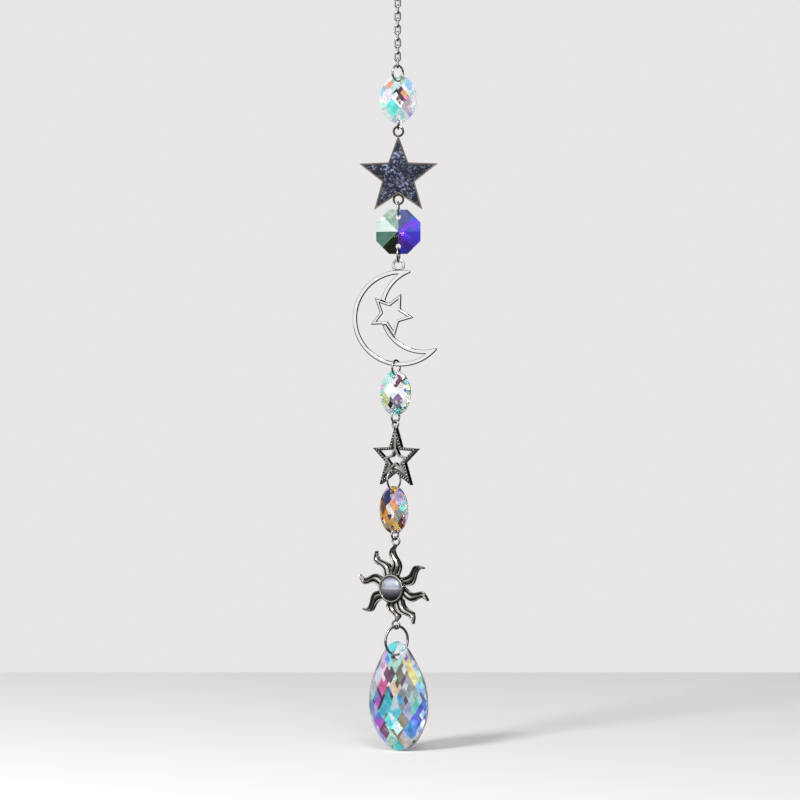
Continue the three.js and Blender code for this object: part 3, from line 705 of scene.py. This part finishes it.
upperCoat = {
    "seed": 4, "shift": {-1: (0.17, 0.12), 1: (-0.08, 0.2)}, "flecked": 0.14,
    "front": ["clear", "ice", "white", "mint", "blush", "sky"],
    "back": ["ice", "lilac", "cream", "mint", "white", "turquoise", "blush", "clear"],
    "flecks": ["white", "ice", "lilac", "clear", "sage", "cream", "mauve", "sky"],
    "accents": [
        (1.1, 1.0, "aubergine"), (-1.5, 4.3, "ice"), (3.7, 4.3, "foam"),
        (-1.5, -2.4, "turquoise"), (3.7, -2.4, "mauve"), (-4.2, 1.0, "blush"),
        (1.1, 7.7, "sage"), (1.1, -5.8, "ice"),
    ],
    # the small white flash among these is a painted glint
    "flashes": [
        (-0.4, 2.3, 0.9, "black"), (0.1, 0.4, 0.9, "indigo"), (2.3, 2.6, 0.5, "white"),
        (2.4, 1.1, 0.9, "orange"), (3.4, 0.8, 0.9, "rose"), (0.9, -1.1, 0.9, "brown"),
        (-3.0, 4.8, 0.7, "orange"), (-2.7, -2.9, 0.7, "magenta"), (3.0, 6.3, 0.9, "sky"),
        (4.5, -5.2, 0.9, "periwinkle"), (-3.0, 7.1, 0.9, "cream"), (5.5, -2.2, 0.9, "foam"),
    ],
}
middleCoat = {
    "seed": 9, "shift": {-1: (-0.19, 0.1), 1: (-0.12, 0.16)}, "flecked": 0.14,
    "front": ["clear", "white", "ice", "lime", "mint", "grey"],
    "back": ["turquoise", "lilac", "ice", "mint", "clear", "lime", "white", "mauve"],
    "flecks": ["white", "ice", "black", "lime", "lilac", "clear", "fir", "sky"],
    "accents": [
        (-1.1, 0.8, "white"), (1.3, 3.9, "maroon"), (-3.6, -2.4, "lime"),
        (1.3, -2.4, "purpleMauve"), (-3.6, 3.9, "mint"), (3.8, 0.8, "blush"),
        (-1.1, 7.0, "turquoise"), (-1.1, -5.5, "ice"), (3.8, -5.5, "ice"),
    ],
    "flashes": [
        (-0.0, 2.7, 0.8, "black"), (-0.8, -1.9, 0.7, "pine"), (1.6, 1.7, 0.8, "fir"),
        (3.8, 0.1, 0.6, "indigo"), (-0.7, -3.9, 0.8, "black"), (3.7, 4.4, 0.8, "maroon"),
        (4.5, 3.4, 0.7, "sky"), (-4.2, 1.9, 0.8, "pink"), (-4.3, -1.8, 0.8, "periwinkle"),
        (1.5, -5.9, 0.9, "turquoise"),
    ],
}
lowerCoat = {
    "seed": 12, "shift": {-1: (0.146, 0.133), 1: (0.2, -0.1)}, "flecked": 0.16,
    "front": ["peach", "lilac", "gold", "khaki", "periwinkle", "brown"],
    "back": ["orange", "violet", "gold", "cyan", "periwinkle", "pink", "white", "clear"],
    "flecks": ["navy", "gold", "orange", "lilac", "black", "pink", "cyan", "white"],
    "accents": [
        (0.9, 1.1, "orange"), (3.5, 4.4, "lilac"), (6.1, 1.1, "cyan"), (-1.7, -2.3, "gold"),
        (3.5, -2.3, "khaki"), (0.9, -5.7, "gold"), (-1.7, 4.4, "navy"), (0.9, 7.8, "gold"),
    ],
    "flashes": [
        (2.7, 2.2, 0.8, "blue"), (1.8, -0.6, 0.8, "violet"), (0.2, 3.5, 0.8, "navy"),
        (-2.0, 5.6, 0.9, "black"), (-1.9, 1.7, 0.8, "brown"), (-2.1, -2.5, 0.8, "gold"),
        (-0.7, -1.6, 0.8, "navy"), (2.2, -2.6, 0.8, "khaki"), (4.0, -4.6, 0.9, "maroon"),
        (5.9, 2.1, 0.8, "cyan"), (6.1, -1.2, 0.8, "sky"), (0.7, 6.2, 0.7, "gold"),
        (3.6, 6.3, 0.9, "periwinkle"), (0.9, -4.4, 0.7, "gold"), (6.2, -3.0, 0.8, "pink"),
        (5.3, -5.4, 0.8, "periwinkle"),
    ],
}
makeOval("upperOval", "oval_crystal_upper", 16, 12.4, 8, upperCoat)
makeOval("middleOval", "oval_crystal_middle", 15, 11.7, 30, middleCoat)
makeOval("lowerOval", "oval_crystal_lower", 16, 12.4, 42, lowerCoat)
print("oval crystals made")

octagon = {"across": 14.8, "thickness": 3.8, "girdle": 0.9, "boreInset": 2.5, "turn": 3}


def makeOctagon():
    corner = octagon["across"] / 2 / math.cos(math.pi / 8)
    thickness = octagon["thickness"]
    piece = addDrum("octagonCrystal", corner, thickness, 8, turn=math.pi / 8)
    slope = (thickness - octagon["girdle"]) / 2 / corner
    facets = []
    for side in (-1, 1):
        for i in range(8):
            angle = (i + 0.5) * math.pi / 4
            x, z = math.cos(angle), math.sin(angle)
            facets.append(facet(
                side, thickness / 2, slope * x, slope * z, (x * corner / 2, z * corner / 2)))
    cutFacets(piece, facets)
    for way in (1, -1):
        drill(piece, oval["bore"], thickness * 2,
              way * (octagon["across"] / 2 - octagon["boreInset"]))
    coat = {
        "seed": 3, "front": ["slate"], "back": ["iris"], "flecked": 0, "flecks": [],
        "accents": [
            (3.7, 1.5, "ultramarine"), (1.5, 3.7, "slate"), (-1.5, 3.7, "sage"),
            (-3.7, 1.5, "foam"), (-3.7, -1.5, "fir"), (-1.5, -3.7, "soot"),
            (1.5, -3.7, "purple"), (3.7, -1.5, "iris"),
        ],
        "backAccents": [
            (3.7, 1.5, "periwinkle"), (1.5, 3.7, "periwinkle"), (-1.5, 3.7, "mint"),
            (-3.7, 1.5, "foam"), (-3.7, -1.5, "mint"), (-1.5, -3.7, "sage"),
        ],
        "flashes": [],
    }
    tintFacets(piece, facets, coat)
    finishPiece(piece, violetCrystal)
    settle(piece, "octagon_crystal", turn=octagon["turn"])


makeOctagon()
print("octagon crystal made")

drop = {
    "length": 36.3, "width": 21.2, "thickness": 6.2, "girdle": 1.4, "belly": 21.5,
    "domeShare": 0.94, "boreInset": 4.6, "bore": 3.35, "lozenge": 0.215, "edgeSlope": 0.55,
    "turn": 25, "lean": 2, "rows": 20, "scoring": 0.215,
    # depth below the top and half width, as shares
    "profile": [
        (0, 0), (0.022, 0.2), (0.066, 0.36), (0.184, 0.61), (0.302, 0.81), (0.43, 0.95),
        (0.59, 1), (0.72, 0.93), (0.82, 0.79), (0.9, 0.62), (0.955, 0.42), (0.988, 0.22), (1, 0)],
}


def dropOutlinePoint(share):
    points = drop["profile"]
    last = len(points) - 1
    place = share * last
    i = min(int(place), last - 1)
    t = place - i
    ends = [points[max(i - 1, 0)], points[i], points[i + 1], points[min(i + 2, last)]]
    values = []
    for axis in (0, 1):
        a, b, c, d = (end[axis] for end in ends)
        values.append(b + 0.5 * t * (c - a + t * (2 * a - 5 * b + 4 * c - d
                                                   + t * (3 * (b - c) + d - a))))
    return values


def makeDrop():
    thickness = drop["thickness"]
    half = drop["width"] / 2
    rows = drop["rows"]
    piece = addDrum("dropCrystal", 1, thickness, 2 * rows)
    for point in piece.data.vertices:
        share = math.acos(max(-1, min(1, point.co.z))) / math.pi
        depth, width = dropOutlinePoint(share)
        point.co.x = math.copysign(width * half, point.co.x) if 0.001 < share < 0.999 else 0
        point.co.z = drop["belly"] - depth * drop["length"]
    dome = {"crown": thickness / 2, "girdle": drop["girdle"] / 2, "half": half,
            "up": drop["belly"] * drop["domeShare"], "down": drop["length"] - drop["belly"]}
    coat = {
        "seed": 21, "shift": {-1: (0.025, -0.11), 1: (0.09, 0.11)}, "flecked": 0.12,
        "front": ["clear", "ice", "lilac", "white", "grey", "pink", "periwinkle", "mint"],
        "back": ["cyan", "lilac", "blue", "ice", "mauve", "violet", "cream", "grey",
                 "turquoise", "white", "mint", "clear"],
        "flecks": ["white", "ice", "taupe", "plum", "blue", "mint", "violet", "clear"],
        "accents": [
            (0.3, -1.6, "cyan"), (-4.3, -1.6, "cyan"), (-2.0, 2.1, "cyan"),
            (-2.0, -4.8, "cyan"), (-4.3, 15.2, "pink"), (-2.0, 10.8, "plum"),
            (-4.3, 6.5, "rose"), (-6.6, 2.1, "plum"), (2.5, 10.8, "taupe"),
            (0.3, 6.5, "peach"), (4.8, 6.5, "grey"), (4.8, 15.2, "yellow"),
            (7.1, 10.8, "yellow"), (2.5, 2.1, "grey"), (9.4, 6.5, "sky"),
            (9.4, -1.6, "indigo"), (4.8, -1.6, "lilac"), (7.1, -4.8, "blue"),
            (-6.6, -4.8, "magenta"), (-4.3, -8.0, "plum"), (0.3, -8.0, "taupe"),
            (2.5, -4.8, "taupe"), (4.8, -8.0, "blue"), (-2.0, -11.2, "mint"),
            (0.3, -14.4, "cyan"), (2.5, -11.2, "yellow"), (-2.0, 19.5, "cyan"),
            (2.5, 19.5, "ice"),
        ],
        "flashes": [
            (-3.3, 15.6, 0.9, "blue"), (-2.9, 6.2, 0.9, "plum"), (-5.1, 2.9, 1.0, "aubergine"),
            (-6.6, 1.6, 0.9, "magenta"), (-7.3, -0.8, 0.9, "pink"), (-5.9, -4.6, 1.0, "magenta"),
            (0.6, 7.2, 1.0, "brown"), (6.9, -1.1, 0.9, "turquoise"), (9.6, 1.6, 1.0, "indigo"),
        ],
    }
    cutCrystal(piece, drop, dome, (drop["belly"] - drop["boreInset"],), coat)
    settle(piece, "drop_crystal", turn=drop["turn"], lean=drop["lean"],
           fromMiddle=(0.01, 0, -3.35))


makeDrop()
print("drop crystal made")


# ---- charms

def addStar(name, radius, notch, spread=1, x=0, z=0, tilt=0):
    star = addDisc(name, radius, 10)
    scalePoints(star, isNotch, (notch / radius,) * 3)
    if spread != 1:
        scalePoints(star, lambda co: co.z < -notch * 1.01, (spread, 1, 1))
    star.rotation_euler.y = math.radians(tilt)
    star.location = (x, 0, z)
    applyPlace(star)
    return star


def isNotch(co):
    step = math.pi / 5
    return round((math.pi / 2 - math.atan2(co.z, co.x)) / step) % 2 == 1


def addLoop(outer, wire, x, z):
    clearSelection()
    bpy.ops.mesh.primitive_torus_add(
        major_segments=40, minor_segments=12, major_radius=(outer - wire) / 2,
        minor_radius=wire / 2, location=(x, 0, z), rotation=(math.pi / 2, 0, 0))
    return newest("loop")


glitterStar = {
    "radius": 13.7, "notch": 5.7, "thickness": 1.8, "rim": 0.45, "recess": 0.8,
    "inlayGap": 0.12, "inlayProud": 0.15, "loopOuter": 3.9, "loopWire": 0.75,
    "loopHeight": 15.003, "footLoopDepth": 7.684, "turn": 2,
    "loopAside": 0.007, "rounding": 0.09, "inlayRounding": 0.22,
}


def makeGlitterStar():
    size = glitterStar
    frontDepth = -size["thickness"] / 2
    setting = addStar("starSetting", size["radius"], size["notch"])
    extrudeAll(setting, size["thickness"], frontDepth)
    sinkFront(setting, size["rim"], size["recess"])
    for height in (size["loopHeight"], -size["footLoopDepth"]):
        # a hair off the middle, so that the tip's edge doesn't fall on the loop's seam
        loop = addLoop(size["loopOuter"], size["loopWire"], size["loopAside"], height)
        combine(setting, loop, "UNION")
    roundEdges(setting, size["rounding"])
    smoothFlat(setting)
    finishPiece(setting, bronzedSilver)
    settle(setting, "star_setting", turn=size["turn"], fromMiddle=(0, 0, -2.91))

    inlay = addStar("starInlay", size["radius"], size["notch"])
    edit(inlay)
    bpy.ops.mesh.inset(thickness=size["rim"] + size["inlayGap"], use_even_offset=True)
    bpy.ops.mesh.select_all(action="INVERT")
    bpy.ops.mesh.delete(type="FACE")
    leaveEdit()
    extrudeAll(inlay, size["recess"] + size["inlayProud"] - size["inlayGap"],
               frontDepth - size["inlayProud"])
    roundEdges(inlay, size["inlayRounding"], 4)
    smooth(inlay, 50)
    finishPiece(inlay, glitterResin)
    settle(inlay, "star_inlay", turn=size["turn"], fromMiddle=(0.02, 0.63, -1.15))


makeGlitterStar()
print("glitter star made")

moon = {
    "radius": 16.1, "hollow": 13.2, "hollowX": 7.7, "hollowZ": 2.65, "band": 1.45, "depth": 1.4,
    "horn": 0.45, "openingHorn": 0.05, "loopOuter": 4.3, "loopWire": 0.8, "loopX": -0.75,
    "loopOverlap": 0.5, "starRadius": 7.75, "starNotch": 3.75, "starBand": 1.0,
    "starX": -3.25, "starZ": 1.35, "starTilt": 27, "turn": 7, "rounding": 0.4,
    "wallShadeSlope": 0.55, "rightShadeSlope": 0.9,
}


# One point is spun round four middles in turn, and the ring of edges is filled
def addCrescent(name, outer, hollow, horn, depth):
    hollowMiddle = Vector((moon["hollowX"], 0, moon["hollowZ"]))
    apart = hollowMiddle.length
    facing = math.atan2(hollowMiddle.z, hollowMiddle.x)
    reach = outer - horn
    excess = reach ** 2 - (hollow + horn) ** 2 + apart ** 2
    spread = math.acos(excess / (2 * apart * reach))

    def at(angle, radius):
        return Vector((radius * math.cos(angle), 0, radius * math.sin(angle)))

    upper = at(facing + spread, reach)
    lower = at(facing - spread, reach)
    toUpper = hollowMiddle - upper
    toLower = hollowMiddle - lower
    start = at(facing + spread, outer)
    clearSelection()
    bpy.ops.mesh.primitive_plane_add(size=0.1, location=start)
    piece = newest(name)
    edit(piece, "VERT")
    bpy.ops.mesh.merge(type="CENTER")

    def angleOf(v):
        return math.atan2(v.z, v.x)

    arcs = [
        (Vector(), 2 * math.pi - 2 * spread, 72),
        (lower, (angleOf(toLower) - (facing - spread)) % (2 * math.pi), 8),
        (hollowMiddle, -((angleOf(lower - hollowMiddle) - angleOf(upper - hollowMiddle))
                         % (2 * math.pi)), 64),
        (upper, (facing + spread - angleOf(toUpper)) % (2 * math.pi), 8),
    ]
    for middle, sweep, steps in arcs:
        bpy.ops.mesh.spin(steps=steps, angle=sweep, center=middle, axis=(0, 1, 0))
    bpy.ops.mesh.select_all(action="SELECT")
    bpy.ops.mesh.remove_doubles(threshold=0.002)
    bpy.ops.mesh.edge_face_add()
    leaveEdit()
    extrudeAll(piece, depth, -depth / 2)
    return piece


def makeMoon():
    depth = moon["depth"]
    charm = addCrescent("moonCharm", moon["radius"], moon["hollow"], moon["horn"], depth)
    opening = addCrescent("opening", moon["radius"] - moon["band"],
                          moon["hollow"] + moon["band"], moon["openingHorn"], depth * 2)
    combine(charm, opening, "DIFFERENCE")
    star = addStar("star", moon["starRadius"], moon["starNotch"], x=moon["starX"],
                   z=moon["starZ"], tilt=moon["starTilt"])
    whole = copyOf(star, "whole")
    extrudeAll(whole, depth * 2, -depth)
    combine(charm, whole, "DIFFERENCE")
    openUp(star, moon["starBand"])
    extrudeAll(star, depth, -depth / 2)
    combine(charm, star, "UNION")
    top = math.sqrt(moon["radius"] ** 2 - moon["loopX"] ** 2)
    height = top - moon["loopOverlap"] + moon["loopOuter"] / 2
    combine(charm, addLoop(moon["loopOuter"], moon["loopWire"], moon["loopX"], height), "UNION")
    roundEdges(charm, moon["rounding"], 4, clamped=False)
    smoothFlat(charm, 40)
    finishPiece(charm, polishedCast)
    # the walls of the band get the dark finish as painted shade, most of all those facing right,
    # away from the light; the front stays polished, free of it
    darkenForPatinaAndShade(charm, lambda face: abs(face.normal.y) < (
        moon["rightShadeSlope"] if face.normal.x > 0.1 else moon["wallShadeSlope"]))
    settle(charm, "moon_charm", turn=moon["turn"], fromMiddle=(1.97, -0.24, -1.87))


makeMoon()
print("moon made")

openStar = {
    "radius": 10.9, "notch": 4.6, "band": 1.0, "legSpread": 1.12, "innerShare": 0.68,
    "innerDrop": 1.5, "innerLegSpread": 1.7, "innerNotch": 2.9, "innerNotchDrop": 1.2,
    "innerFoot": 2.2, "rounding": 0.05, "innerRounding": 0.24, "beadSink": 0.12,
    "innerBand": 0.7, "stem": 0.9, "stemLap": 0.5, "depth": 1.5, "loopOuter": 3.3,
    "loopWire": 0.7, "loopX": -0.4, "loopHeight": 11.3, "turn": 44, "bead": 0.36,
    "beadPitch": 1.05, "rim": 0.14, "groove": 0.35,
}


# Beads set side by side along a closed path of corners
def addBeads(corners, radius, pitch):
    clearSelection()
    bpy.ops.mesh.primitive_uv_sphere_add(segments=8, ring_count=6, radius=radius)
    bead = newest("bead")
    beads = []
    for start, end in zip(corners, corners[1:] + corners[:1]):
        count = max(1, round((end - start).length / pitch))
        for i in range(count):
            twin = copyOf(bead, "beads")
            twin.location = start.lerp(end, (i + 0.5) / count)
            beads.append(twin)
    bpy.data.objects.remove(bead)
    row = beads.pop()
    joinAll(row, beads)
    applyPlace(row)
    return row


def makeOpenStar():
    size = openStar
    depth = size["depth"]
    front = -depth / 2
    charm = addStar("openStarCharm", size["radius"], size["notch"], size["legSpread"])
    middleLine = copyOf(charm, "middleLine")
    openUp(charm, size["band"])
    openingTip = max(v.co.z for v in charm.data.vertices if v.co.z < size["radius"] * 0.97)
    edit(middleLine)
    bpy.ops.mesh.inset(thickness=size["band"] / 2, use_even_offset=True)
    leaveEdit()
    inner = [f for f in middleLine.data.polygons if len(f.vertices) == 10][0]
    path = [middleLine.data.vertices[i].co.copy() for i in inner.vertices]
    bpy.data.objects.remove(middleLine)

    extrudeAll(charm, depth, front)
    # a sunk channel along the middle of the band for the beads
    sinkFront(charm, size["rim"], size["groove"])
    roundEdges(charm, size["rounding"])
    charm.data.materials.append(antiqueSilver)
    darkenForPatinaAndShade(charm, lambda face: front + 0.05 < face.center.y < front + size["groove"] + 0.01)

    innerReach = openingTip * size["innerShare"]
    innerStar = addStar("innerStar", innerReach, size["innerNotch"], size["innerLegSpread"])
    for fall, ofTip in ((size["innerNotchDrop"], False), (size["innerDrop"], True)):
        movePoints(innerStar, lambda co: (co.length > innerReach * 0.9) == ofTip, (0, 0, -fall))
    footRise = size["innerNotch"] + size["innerNotchDrop"] - size["innerFoot"]
    movePoints(innerStar, lambda co: abs(co.x) < 0.01 and co.z < 0, (0, 0, footRise))
    openUp(innerStar, size["innerBand"])
    extrudeAll(innerStar, depth, front)
    stemFoot = innerReach - size["innerDrop"] - size["stemLap"]
    stemTop = openingTip + size["stemLap"]
    clearSelection()
    stemMiddle = (0, 0, (stemFoot + stemTop) / 2)
    bpy.ops.mesh.primitive_cube_add(size=1, location=stemMiddle)
    stem = newest("stem")
    edit(stem)
    bpy.ops.transform.resize(
        value=(size["stem"], depth, stemTop - stemFoot), center_override=stemMiddle)
    leaveEdit()
    combine(innerStar, stem, "UNION")
    roundEdges(innerStar, size["innerRounding"], 3)
    loop = addLoop(size["loopOuter"], size["loopWire"], size["loopX"], size["loopHeight"])
    path = [co + Vector((0, front + size["beadSink"], 0)) for co in path]
    beads = addBeads(path, size["bead"], size["beadPitch"])
    for part in (innerStar, loop, beads):
        part.data.materials.append(antiqueSilver)
    joinAll(charm, [innerStar, loop, beads])
    smoothFlat(charm, 40)
    settle(charm, "open_star_charm", turn=size["turn"], fromMiddle=(0, 0, -2.05))


makeOpenStar()
print("open star made")

sun = {
    "reach": 13.7, "headReach": 14.5, "footReach": 10.8, "depth": 1.6,
    "leans": [2.6, 15, 15, 11, -2.4, 9, 13, 12],
    "halfWidth": 1.45, "tip": 0.35, "taper": 2.6, "tipRound": 0.3, "swing": 1.1,
    "swingPower": 1.3, "hook": 0.4, "footHook": -0.6, "root": 3.7, "groove": 0.6, "bezelOuter": 9.4,
    "bezelWall": 0.65, "bezelHeight": 1.1, "loopOuter": 3.4, "loopWire": 0.7, "loopSink": 0.4,
    "turn": 32, "columns": 12, "rows": 26, "blackFrom": 0.74, "bezelRounding": 0.2,
    "beads": 36, "bead": 0.3, "beadPitch": 0.9, "beadGap": 0.12, "beadProud": 0.1,
    "fadeWidth": 1.1, "rimWidth": 0.2, "rimDepth": 0.35,
}


def rayMiddle(share, hook):
    swing = math.sin(2 * math.pi * share ** sun["swingPower"])
    return hook * share ** 2 + sun["swing"] * swing


# A flame: a finely divided bar bent along the ray's line, with three ridges on its front
def addRay(name, reach, hook):
    columns, rows = sun["columns"], sun["rows"]
    clearSelection()
    bpy.ops.mesh.primitive_grid_add(
        x_subdivisions=columns, y_subdivisions=rows, size=2, rotation=(math.pi / 2, 0, 0))
    ray = newest(name)
    extrudeAll(ray, 1)
    front = min(v.co.y for v in ray.data.vertices)
    for point in ray.data.vertices:
        across = point.co.x
        share = (point.co.z + 1) / 2
        onFront = abs(point.co.y - front) < 0.01
        halfWidth = max(sun["halfWidth"] * (1 - share ** sun["taper"]), 0) + sun["tip"]
        fade = min(1, halfWidth / sun["fadeWidth"]) * min(1, share * 6 + 0.2)
        ridge = sun["groove"] * fade * (0.5 - 0.5 * math.cos(2 * math.pi * across))
        rim = sun["rimDepth"] * max(0, abs(across) - 1 + sun["rimWidth"]) / sun["rimWidth"]
        point.co.x = rayMiddle(share, hook) + across * halfWidth
        point.co.z = (sun["root"] + share * (reach - sun["root"])
                      + sun["tipRound"] * (1 - across ** 2) * share ** 8)
        if onFront:
            point.co.y = -sun["depth"] / 2 + ridge + rim * 0.5
        else:
            point.co.y = sun["depth"] / 2 - rim * 0.4
    mendNormals(ray)
    ray.data.materials.append(antiqueSilver)
    deep = -sun["depth"] / 2 + sun["groove"] * sun["blackFrom"]
    darkenForPatinaAndShade(ray, lambda face: face.normal.y < -0.3 and face.center.y > deep)
    return ray


def turnAbout(piece, degrees):
    piece.rotation_euler.y = math.radians(-degrees)
    applyPlace(piece)


def makeSun():
    frontDepth = -sun["depth"] / 2
    leans = sun["leans"]
    rays = len(leans)
    foot = rays // 2
    ordinary = addRay("ray", sun["reach"], sun["hook"])
    charm = addRay("sunCharm", sun["headReach"], sun["hook"])
    turnAbout(charm, -leans[0])
    parts = []
    for i in range(1, rays):
        if i == foot:
            ray = addRay("ray", sun["footReach"], sun["footHook"])
        else:
            ray = copyOf(ordinary, "ray")
        turnAbout(ray, i * 360 / rays - leans[i])
        parts.append(ray)
    bpy.data.objects.remove(ordinary)

    radius = sun["bezelOuter"] / 2
    bezel = addDrum("bezel", radius, sun["depth"] + sun["bezelHeight"], 72)
    edit(bezel)
    bpy.ops.transform.translate(value=(0, -sun["bezelHeight"] / 2, 0))
    leaveEdit()
    sinkFront(bezel, sun["bezelWall"], sun["bezelHeight"])
    roundEdges(bezel, sun["bezelRounding"], 4)
    bezel.data.materials.append(antiqueSilver)
    parts.append(bezel)
    ringPath = []
    reach = radius + sun["beadGap"]
    for i in range(sun["beads"]):
        angle = i * 2 * math.pi / sun["beads"]
        ringPath.append(Vector((reach * math.cos(angle), frontDepth - sun["beadProud"],
                                reach * math.sin(angle))))
    beads = addBeads(ringPath, sun["bead"], sun["beadPitch"])
    beads.data.materials.append(patinaAndShadeSilver)
    parts.append(beads)
    for i, reach, hook in ((0, sun["headReach"], sun["hook"]),
                           (foot, sun["footReach"], sun["footHook"])):
        angle = math.radians(i * 360 / rays - leans[i])
        side = rayMiddle(1, hook)
        tipX = side * math.cos(angle) - reach * math.sin(angle)
        tipZ = side * math.sin(angle) + reach * math.cos(angle)
        above = sun["loopOuter"] / 2 - sun["loopSink"]
        loop = addLoop(sun["loopOuter"], sun["loopWire"], tipX,
                       tipZ + math.copysign(above, tipZ))
        loop.data.materials.append(antiqueSilver)
        parts.append(loop)
    joinAll(charm, parts)
    smooth(charm, 50)
    settle(charm, "sun_charm", turn=sun["turn"], fromMiddle=(-0.05, 0.03, -1.85))


makeSun()

cabochon = {"gap": 0.12, "rise": 2.3, "wall": 0.3}


def makeCabochon():
    radius = sun["bezelOuter"] / 2 - sun["bezelWall"] - cabochon["gap"]
    dome = cabochon["rise"] - cabochon["wall"]
    clearSelection()
    bpy.ops.mesh.primitive_uv_sphere_add(
        segments=64, ring_count=32, radius=radius, rotation=(math.pi / 2, 0, 0))
    stone = newest("sunCabochon")
    edit(stone)
    bpy.ops.mesh.bisect(plane_co=(0, 0, 0), plane_no=(0, 1, 0), use_fill=True, clear_outer=True)
    bpy.ops.mesh.select_all(action="SELECT")
    bpy.ops.transform.resize(value=(1, dome / radius, 1), center_override=(0, 0, 0))
    leaveEdit()
    selectFaces(stone, lambda centre, normal: normal.y > 0.9 and centre.y > -0.01)
    bpy.ops.mesh.extrude_region_move(TRANSFORM_OT_translate={"value": (0, cabochon["wall"], 0)})
    leaveEdit()
    edit(stone)
    bpy.ops.transform.translate(
        value=(0, -sun["depth"] / 2 - cabochon["gap"] - cabochon["wall"], 0))
    bpy.ops.mesh.normals_make_consistent(inside=False)
    leaveEdit()
    smooth(stone, 60)
    finishPiece(stone, pearlStone)
    # the stone's height, which sets its painted shade and painted highlight
    height = stone.data.attributes.new("stoneHeight", "FLOAT", "POINT")
    for point in stone.data.vertices:
        height.data[point.index].value = 0.5 + 0.5 * point.co.z / radius
    settle(stone, "sun_cabochon", turn=sun["turn"], fromMiddle=(0.73, 1.33, 0))


makeCabochon()
print("sun made")


# ---- floor, light and camera

stage = {"floorTop": -0.2803, "back": 0.26, "front": 0.9, "half": 1.6,
         "paper": "#f0eeed", "mirrored": "#3a3836", "wall": "#e8e6e6"}


def makeFloor():
    clearSelection()
    depth = stage["back"] + stage["front"]
    bpy.ops.mesh.primitive_plane_add(
        size=1, location=(0, stage["back"] - depth / 2, stage["floorTop"]))
    floor = bpy.context.active_object
    floor.name = "floor"
    floor.scale = (2 * stage["half"], depth, 1)
    applyPlace(floor)
    material, tree, shader = startMaterial("pale paper")[:3]
    # the silver mirrors it as a dark floor, for the black lines of its undersides, and the
    # crystals show it pale: a ray that leaves one counts as glossy too
    path = addNode(tree, "LightPath").outputs
    mirrored = addNode(
        tree, "Math", {0: path["Is Glossy Ray"], 1: path["Is Transmission Ray"]},
        operation="SUBTRACT", use_clamp=True).outputs[0]
    fill(tree, shader, {
        "Roughness": 0.7,
        "Base Color": blend(tree, mirrored, tone(stage["paper"]), tone(stage["mirrored"]))})
    floor.data.materials.append(material)


# The room: pale to the camera. To the silver and the crystals it is a studio, bright in
# front, above and to the left, pale behind, and dark to the right and below. Its ranges
# give where each starts and ends, and the light at both
def makeWorld():
    look = {"towards": (-0.62, -0.55, 0.56), "panel": (0.25, 0.45, 0.015, 1.3),
            "sides": (0.1, -0.35, 0.4, 1), "wall": (0.7, 0.86, 0, 0.95), "seams": 2.6,
            "gaps": (0.38, 0.44, 0.12, 1), "ahead": (-0.28, -0.4, 0, 1), "through": 1.3,
            "steady": 0.85}
    world = bpy.data.worlds.new("studio")
    bpy.context.scene.world = world
    world.use_nodes = True
    tree = world.node_tree
    backdrop = tree.nodes["Background"]
    fill(tree, backdrop, {"Color": tone(stage["wall"]), "Strength": 1})
    direction = addNode(tree, "TexCoord").outputs["Generated"]
    facing = addNode(tree, "VectorMath", {0: direction, 1: look["towards"]},
                     operation="DOT_PRODUCT").outputs["Value"]
    depth = addNode(tree, "SeparateXYZ", {"Vector": direction}).outputs["Y"]
    seams = addNode(tree, "TexNoise", {
        "Vector": direction, "Scale": look["seams"], "Detail": 1}).outputs["Fac"]
    path = addNode(tree, "LightPath").outputs
    leaving = path["Is Transmission Ray"]

    def eased(value, span):
        return ranged(tree, value, *span, interpolation_type="SMOOTHSTEP")

    around = calculate(
        tree, "MAXIMUM",
        calculate(tree, "MULTIPLY", eased(facing, look["panel"]), eased(depth, look["sides"])),
        eased(depth, look["wall"]))
    unbroken = calculate(
        tree, "MAXIMUM", ranged(tree, seams, *look["gaps"]), ranged(tree, depth, *look["ahead"]))
    # a ray that leaves a crystal finds the room brighter, and without most of its gaps
    lit = calculate(
        tree, "MAXIMUM", around, calculate(tree, "MULTIPLY", leaving, look["through"]))
    evened = calculate(
        tree, "MAXIMUM", unbroken, calculate(tree, "MULTIPLY", leaving, look["steady"]))
    room = addNode(tree, "Background", {"Strength": calculate(tree, "MULTIPLY", lit, evened)})
    choose = addNode(tree, "MixShader", {
        "Fac": path["Is Camera Ray"], 1: room.outputs["Background"],
        2: backdrop.outputs["Background"]})
    fill(tree, tree.nodes["World Output"], {"Surface": choose.outputs["Shader"]})


def addLight(name, place, aim, size, watts, mirrored):
    clearSelection()
    bpy.ops.object.light_add(type="AREA", location=place)
    light = bpy.context.active_object
    light.name = name
    light.data.shape = "DISK"
    light.data.size = size
    light.data.energy = watts
    towards = Vector(aim) - Vector(place)
    light.rotation_euler = towards.to_track_quat("-Z", "Y").to_euler()
    light.visible_glossy = mirrored


makeFloor()
makeWorld()
addLight("keyLight", (-0.62, -0.74, 0.2), (0, 0, -0.2), 0.3, 12, False)
addLight("glintLight", (0.13, -0.8, 0.46), (0, 0, -0.2), 0.26, 2.5, True)

camera = {"x": 0.00083, "z": -0.1633, "distance": 0.9, "fieldWidth": 0.26667, "sensor": 36}


def makeCamera():
    clearSelection()
    bpy.ops.object.camera_add(
        location=(camera["x"], -camera["distance"], camera["z"]), rotation=(math.pi / 2, 0, 0))
    view = bpy.context.active_object
    view.name = "photoCamera"
    view.data.sensor_width = camera["sensor"]
    view.data.lens = camera["sensor"] * camera["distance"] / camera["fieldWidth"]
    view.data.clip_start = 0.01
    bpy.context.scene.camera = view


makeCamera()
bpy.context.scene.view_settings.view_transform = "Standard"
print("stage set")

clearSelection()
